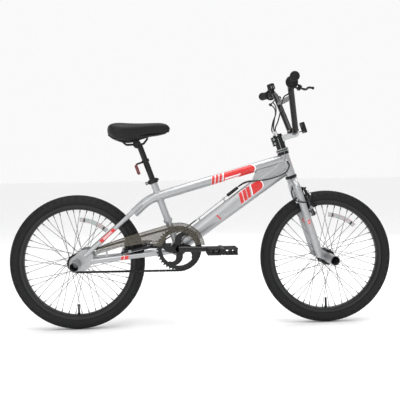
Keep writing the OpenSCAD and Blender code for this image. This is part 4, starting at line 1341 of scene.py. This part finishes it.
class BIKE_OT_cables(BikeOperator, bpy.types.Operator):
    """Draw the brake cable sleeves, end caps, joiner and wires"""

    bl_idname = "bike.cables"
    bl_label = "Cables"

    def execute(self, context):
        r = self.sizes.sleeve_radius * PER_METRE
        lower, rear, upper, front = routes()
        bm, caps = bmesh.new(), bmesh.new()
        for side in (1, -1):
            path = [flip(p, side) for p in lower]
            tube(bm, smooth_path(path), r)
            ferrule(caps, path[0], path[0] - path[1])
        tube(bm, smooth_path(rear), r)
        ferrule(caps, rear[0], rear[0] - rear[1])
        ferrule(caps, rear[-1], rear[-1] - rear[-2])
        low, high = bike(562, 0, 487), bike(604, 0, 518)
        way = (high - low).normalized()
        lathe(bm, low, way, [(0, 0), (0, 3.4), (2, 5.4), (3.5, 6.0), (46, 6.0), (49, 5.4), (52.2, 4.4),
              (52.2, 0)], sides=24)
        piece = make("rear_cable_sleeves", bm, "cable_sleeve", "frame")
        make("rear_cable_caps", caps, "bright_alloy", "frame")
        caps = bmesh.new()
        tube(caps, [bike(451, 0, 403), low + way * 0.002], 1.1, sides=8)
        make("rear_brake_wire", caps, "spoke_steel", "frame")
        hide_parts("rear_brake_cable")

        bm, caps = bmesh.new(), bmesh.new()
        for path in upper:
            tube(bm, smooth_path(path), r)
        for path in upper[:2]:
            ferrule(caps, path[0], path[0] - path[1])
        lathe(bm, SPLITTER_LOW, SPLITTER - SPLITTER_LOW, [(-1, 0), (-1, 3.2), (0.5, 4.8), (14.0, 5.0),
              (15.6, 3.4), (15.6, 0)],
              sides=24)
        piece = make("upper_cable_sleeves", bm, "cable_sleeve", "steering")
        make("upper_cable_caps", caps, "bright_alloy", "steering")
        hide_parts("upper_rotor_cables")

        bm, caps = bmesh.new(), bmesh.new()
        tube(bm, smooth_path(front), r)
        ferrule(caps, front[-1], front[-1] - front[-2])
        slab(caps, steered(-18.5, -59, 239), (AHEAD, UP_STEER, Y), (10, 12, 7), 1.2)
        piece = make("front_cable_sleeve", bm, "cable_sleeve", "steering")
        make("front_cable_caps", caps, "bright_alloy", "steering")
        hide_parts("front_brake_cable")
        return {"FINISHED"}


# ---------------------------------------------------------------- brakes


class BIKE_OT_brakes(BikeOperator, bpy.types.Operator):
    """Fit the brake arms with pivot bolts, springs, pads, boots and wires"""

    bl_idname = "bike.brakes"
    bl_label = "Brake details"

    def execute(self, context):
        tilt = math.radians(11.5)
        rear_out = Vector((math.cos(tilt), 0, math.sin(tilt)))
        rear_off = Vector((-math.sin(tilt), 0, math.cos(tilt)))
        for wheel, axle, wide, out, off, left, right, noodle in (
            ("front", FRONT_AXLE, Y, UP_STEER, AHEAD, 1, -1, -1),
            ("rear", REAR_AXLE, -Y, rear_out, rear_off, -1, 1, -1),
        ):
            def at(x, w, e):
                return axle + (x * wide + w * out + e * off) * MM

            for side, hand in ((left, "left"), (right, "right")):
                body = f"{wheel}_arm_{hand}"
                bm = bmesh.new()
                cap_screw(bm, at(side * 41, 175, 8.2), off, 5.6, 4.0)
                for x, r, h in ((46.2, 6.6, 2.0), (48.2, 4.8, 3.6)):
                    hex_nut(bm, at(side * x, 199, 0), wide * side, r, h)
                tube(bm, smooth_path([at(side * 47, 166, -3), at(side * 50, 176, -3),
                      at(side * 49.6, 205, -3),
                                      at(side * 48.2, 238, -3), at(side * 47, 246, -3)], 5), 0.9, sides=8)
                cap_screw(bm, at(side * 41, 268, 5.2), off, 3.6, 3.4)
                make(f"{body}_bolts", bm, "machined_steel", body)
                bm = bmesh.new()
                for e in (-5.3, 5.3):
                    slab(bm, at(side * 41, 226, e), (wide, out, off), (7.4, 84, 1.6), 0.6)
                lathe(bm, at(side * 41, 175, -6.4), off, [(0, 4.3), (0, 8.3), (1, 9.0), (11.6, 9.0),
                      (12.6, 8.2), (12.6, 4.3)], sides=28)
                make(f"{body}_ribs", bm, "satin_black", body)
                bm = bmesh.new()
                slab(bm, at(side * 22.4, 199, 0), (off, out, wide), (53, 11, 7.2), 1.6)
                for e in (-17, -6, 6, 17):
                    slab(bm, at(side * 18.4, 199, e), (off, out, wide), (8, 10.4, 2.2), 0.4)
                make(f"{body}_pad", bm, "soft_rubber", body)
                if side == noodle:
                    bm = bmesh.new()
                    lean = 1 if wheel == "rear" else -1
                    path = smooth_path([at(side * x, 272 + lean * w, e) for x, w, e in
                                        ((10, 0, 0), (28, 0, 0.5), (45, 1, 2), (53, 7, 4), (56, 18, 6))], 5)
                    tube(bm, path, 2.75, sides=16)
                    make(f"{body}_noodle", bm, "bright_alloy", body)
                else:
                    bm = bmesh.new()
                    start = at(-side * 15, 272, 0)
                    profile = [(0, 5.0), (0, 6.3)]
                    for k in range(6):
                        profile += [(1.5 + k * 4, 6.6), (3.5 + k * 4, 5.6)]
                    profile += [(27, 4.2), (29, 2.2), (29.5, 1.0), (27.5, 1.0), (25, 4.4), (0.4, 4.8)]
                    lathe(bm, start, wide * side, profile, sides=24)
                    make(f"{body}_boot", bm, "soft_rubber", body)
                    bm = bmesh.new()
                    tube(bm, [at(side * 12, 272, 0), at(side * 44, 272, 0)], 0.8, sides=8)
                    make(f"{body}_wire", bm, "machined_steel", body)
        return {"FINISHED"}


# ---------------------------------------------------------------- drive


class BIKE_OT_pedals(BikeOperator, bpy.types.Operator):
    """Mould the two platform pedals"""

    bl_idname = "bike.pedals"
    bl_label = "Pedals"

    def execute(self, context):
        for side, name in ((1, "left"), (-1, "right")):
            axle = Vector(joints[f"{name}_pedal_spin"]["pos_m"])
            axle.y = 0

            def at(x, y, z):
                return axle + Vector((x, side * y, z)) * MM

            bm = bmesh.new()
            lathe(bm, at(0, 97.6, 0), Y * side, [(0, 6.2), (0, 10.2), (1.5, 11.6), (30, 11.8), (47, 12.4),
                  (66, 11.8),
                                                 (97, 11.4), (99, 9.8), (100.2, 7.0), (100.2, 0)], sides=32)
            for y, long in ((101, 53), (117, 55), (133, 56), (149, 56), (165, 55), (189, 51)):
                wide = 7 if y in (101, 189) else 4
                for end in (-1, 1):
                    for top in (-1, 1):
                        slab(bm, at(end * (long / 2 + 2), y, top * 9.6), (X, Y, Z), (long - 8, wide, 5.0),
                              1.0)
                    slab(bm, at(end * (long - 3.2), y, 0), (X, Y, Z), (6.4, wide + 1, 21), 1.6)
            for end in (-1, 1):
                slab(bm, at(end * 50, 145, 0), (X, Y, Z), (4.4, 88, 10), 1.4)
                slab(bm, at(end * 30, 145, 0), (X, Y, Z), (4.4, 92, 17), 1.4)
                for k in range(9):
                    for top in (-1, 1):
                        y = 101 + k * 11
                        lathe(bm, at(end * 51.5, y, top * 8), Z * top,
                              [(0, 3.2), (2.6, 2.6), (4.2, 1.4), (4.6, 0)], sides=8)
                        if k % 2:
                            lathe(bm, at(end * 30, y, top * 7), Z * top, [(0, 3.2), (3.6, 2.4), (4.8, 0)],
                                  sides=8)
            piece = make(f"platform_pedal_{name}", bm, "moulded_black", f"{name}_pedal")
            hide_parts(f"pedal_{name}")
        return {"FINISHED"}


class BIKE_OT_drive(BikeOperator, bpy.types.Operator):
    """Add crank lugs, axle flats, bracket cup notches, guard bolts and the guard's lip"""

    bl_idname = "bike.drive"
    bl_label = "Drive details"

    def execute(self, context):
        bm = bmesh.new()
        lathe(bm, SPINDLE - Y * 0.0402, -Y, [(0, 12.1), (0, 17.5), (0.4, 18.2), (5.2, 18.2), (6, 17.4),
              (6, 12.1)], sides=40)
        lathe(bm, SPINDLE - Y * 0.0462, -Y, [(0, 12.1), (0, 15.6), (3, 15.6), (3.8, 14.6), (3.8, 12.1)],
              sides=24,
              hexes=(1, 2))
        for side in (1, -1):
            end = SPINDLE + Vector((-side * 150, side * 74, 0)) * MM
            lathe(bm, end, Y * side, [(0, 0), (0, 11.6), (1.4, 13.3), (14.5, 13.3), (16.2, 11.8),
                  (16.2, 9.4), (20.5, 9.4),
                                      (20.5, 7.4), (23.6, 7.4), (23.6, 6.1)], sides=36, hexes=(5, 6))
        make("crank_lugs", bm, "gloss_black", "crankset")
        bm = bmesh.new()
        tube(bm, [SPINDLE + Vector((30, -44.5, 0)) * MM, SPINDLE + Vector((30, -66, 0)) * MM], 5.5,
              sides=16)
        make("chainring_pin", bm, "gloss_black", "crankset")
        bm = bmesh.new()
        for side in (1, -1):
            face = SPINDLE + Y * side * 0.0365
            for k in range(6):
                a = math.tau * k / 6
                out = around(a)
                slab(bm, face + out * 0.0235, (out, out.cross(Y), Y), (5.0, 7.0, 1.2), 0.5)
        make("bracket_cup_notches", bm, "machined_steel", "frame")
        # the guard's turned edge and its fixings
        bm = bmesh.new()
        rim = [SPINDLE + Vector((96.0 * math.cos(a), -50, 96.0 * math.sin(a))) * MM
               for a in (math.radians(8 + k * 4) for k in range(24))]
        tail = [SPINDLE + Vector(p) * MM for p in ((-30, -50, 91.9), (-60, -50, 83.6), (-110, -50, 69.9),
              (-160, -50, 56.3),
                                                   (-203, -50, 44.5), (-240, -50, 32.6), (-275, -50, 21.4))]
        tube(bm, rim + tail, 1.5, sides=8)
        make("guard_edge", bm, "smoked_guard", "frame")
        bm = bmesh.new()
        for x, z in ((345, 384.2), (110, 296)):
            cap_screw(bm, bike(x, -51.1, z), -Y, 3.4, 2.2)
        make("guard_bolts", bm, "machined_steel", "frame")
        return {"FINISHED"}


# ---------------------------------------------------------------- frame


def joint_line(start, way, radius, hit, steps=72):
    """Where a round tube meets another shape: hit gives the distance along each of its lines."""
    u, v = frame_about(way)
    out = []
    for k in range(steps):
        a = math.tau * k / steps
        edge = start + (u * math.cos(a) + v * math.sin(a)) * radius * MM
        reach = hit(edge, way)
        if reach is not None:
            out.append(edge + way * reach)
    return out


def meets_cylinder(axis_at, axis, radius, first=True):
    """A function giving how far along a line first meets a cylinder."""
    axis = axis.normalized()

    def hit(p, way):
        w = way - axis * way.dot(axis)
        d = (p - axis_at) - axis * (p - axis_at).dot(axis)
        a, b, c = w.dot(w), 2 * w.dot(d), d.dot(d) - (radius * MM) ** 2
        inside = b * b - 4 * a * c
        if inside < 0:
            return -b / (2 * a)
        root = math.sqrt(inside)
        return (-b - root) / (2 * a) if first else (-b + root) / (2 * a)

    return hit


class BIKE_OT_frame_details(BikeOperator, bpy.types.Operator):
    """Run the weld beads and fit the seat clamp bolt and the reflectors"""

    bl_idname = "bike.frame_details"
    bl_label = "Frame details"

    def bead(self, bm, loop):
        if len(loop) < 8:
            raise RuntimeError("a weld bead has no joint to follow")
        count = max(24, int(sum((a - b).length for a, b in zip(loop, loop[1:])) / 0.0011))
        path = []
        for k in range(count):
            t = k / count * len(loop)
            i = int(t)
            path.append(loop[i].lerp(loop[(i + 1) % len(loop)], t - i))
        r = self.sizes.weld_radius * PER_METRE
        rings = []
        up = None
        for i, p in enumerate(path):
            way = (path[(i + 1) % count] - path[i - 1]).normalized()
            up = frame_about(way)[0] if up is None else (up - way * up.dot(way)).normalized()
            other = way.cross(up)
            size = r * (1 + 0.16 * math.sin(i * 1.55)) * MM
            rings.append([bm.verts.new(p + (up * math.cos(a) + other * math.sin(a)) * size)
                          for a in (math.tau * k / 8 for k in range(8))])
        skin(bm, rings, closed=True)

    def execute(self, context):
        bm = bmesh.new()
        head_r, top_r, seat_r, stay_r = 19.2, 18.0, 13.0, 9.5
        shell = meets_cylinder(SPINDLE, Y, 28.0)
        top_at = TOP_TUBE[0]
        top_way = (TOP_TUBE[1] - top_at).normalized()
        self.bead(bm, joint_line(top_at, top_way, top_r, meets_cylinder(STEER_FOOT, UP_STEER, head_r)))
        for first in (True, False):
            self.bead(bm, joint_line(SPINDLE, UP_SEAT, seat_r, meets_cylinder(top_at, top_way, top_r,
                  first)))
        self.bead(bm, joint_line(SPINDLE + UP_SEAT * 0.1, -UP_SEAT, seat_r, shell))
        for side in (1, -1):
            a, b = bike(52, side * 58, 257), bike(370.1, side * 21, 286)
            self.bead(bm, joint_line(a, (b - a).normalized(), stay_r, shell))
        make("weld_beads", bm, "silver_paint", "frame", sharp=60)

        bm = bmesh.new()
        cap_screw(bm, seated(-24, -13, 266.5), -Y, 4.2, 3.6)
        hex_nut(bm, seated(-24, 13, 266.5), Y, 4.6, 3.6)
        make("seat_clamp_bolt", bm, "machined_steel", "frame")

        bm = bmesh.new()
        slab(bm, seated(-38.6, 0, 326.5), (UP_SEAT, Y, Y.cross(UP_SEAT)), (38.5, 55.5, 10.4), 2.2)
        make("rear_reflector_shell", bm, "red_prism", "seat")
        bm = bmesh.new()
        slab(bm, seated(-43.9, 0, 326.5), (UP_SEAT, Y, Y.cross(UP_SEAT)), (33, 50, 2.4), 0.9)
        make("rear_reflector_lens", bm, "red_prism", "seat")
        bm = bmesh.new()
        cap_screw(bm, seated(-20, -5, 346.5), -Y, 3.2, 2.4)
        lathe(bm, seated(0, 0, 341.6), UP_SEAT, [(0, 11.3), (0, 13.8), (0.7, 14.5), (9.9, 14.5),
              (10.6, 13.8), (10.6, 11.3)],
              sides=40)
        make("rear_reflector_band", bm, "moulded_black", "seat")
        return {"FINISHED"}


# ---------------------------------------------------------------- panel and registration

STEPS = (
    BIKE_OT_stage,
    BIKE_OT_cables,
    BIKE_OT_paint,
    BIKE_OT_tyres,
    BIKE_OT_wheel_trim,
    BIKE_OT_saddle,
    BIKE_OT_grips,
    BIKE_OT_levers,
    BIKE_OT_bell,
    BIKE_OT_cockpit,
    BIKE_OT_brakes,
    BIKE_OT_pedals,
    BIKE_OT_drive,
    BIKE_OT_frame_details,
)


class BIKE_PT_panel(bpy.types.Panel):
    """Bike settings and steps."""

    bl_idname = "BIKE_PT_panel"
    bl_label = "Bike"
    bl_space_type = "VIEW_3D"
    bl_region_type = "UI"
    bl_category = "Bike"

    def draw(self, context):
        column = self.layout.column()
        for group in (context.scene.bike_sizes, context.scene.bike_colours):
            for key in group.__annotations__:
                column.prop(group, key)
        for step in STEPS:
            column.operator(step.bl_idname)


CLASSES = (BikeSizes, BikeColours, *STEPS, BIKE_PT_panel)


def register():
    for made in CLASSES:
        bpy.utils.register_class(made)
    bpy.types.Scene.bike_sizes = PointerProperty(type=BikeSizes)
    bpy.types.Scene.bike_colours = PointerProperty(type=BikeColours)


def unregister():
    del bpy.types.Scene.bike_colours
    del bpy.types.Scene.bike_sizes
    for made in reversed(CLASSES):
        bpy.utils.unregister_class(made)


def main():
    register()
    for step in STEPS:
        group, name = step.bl_idname.split(".")
        getattr(getattr(bpy.ops, group), name)()


if __name__ == "__main__":
    main()
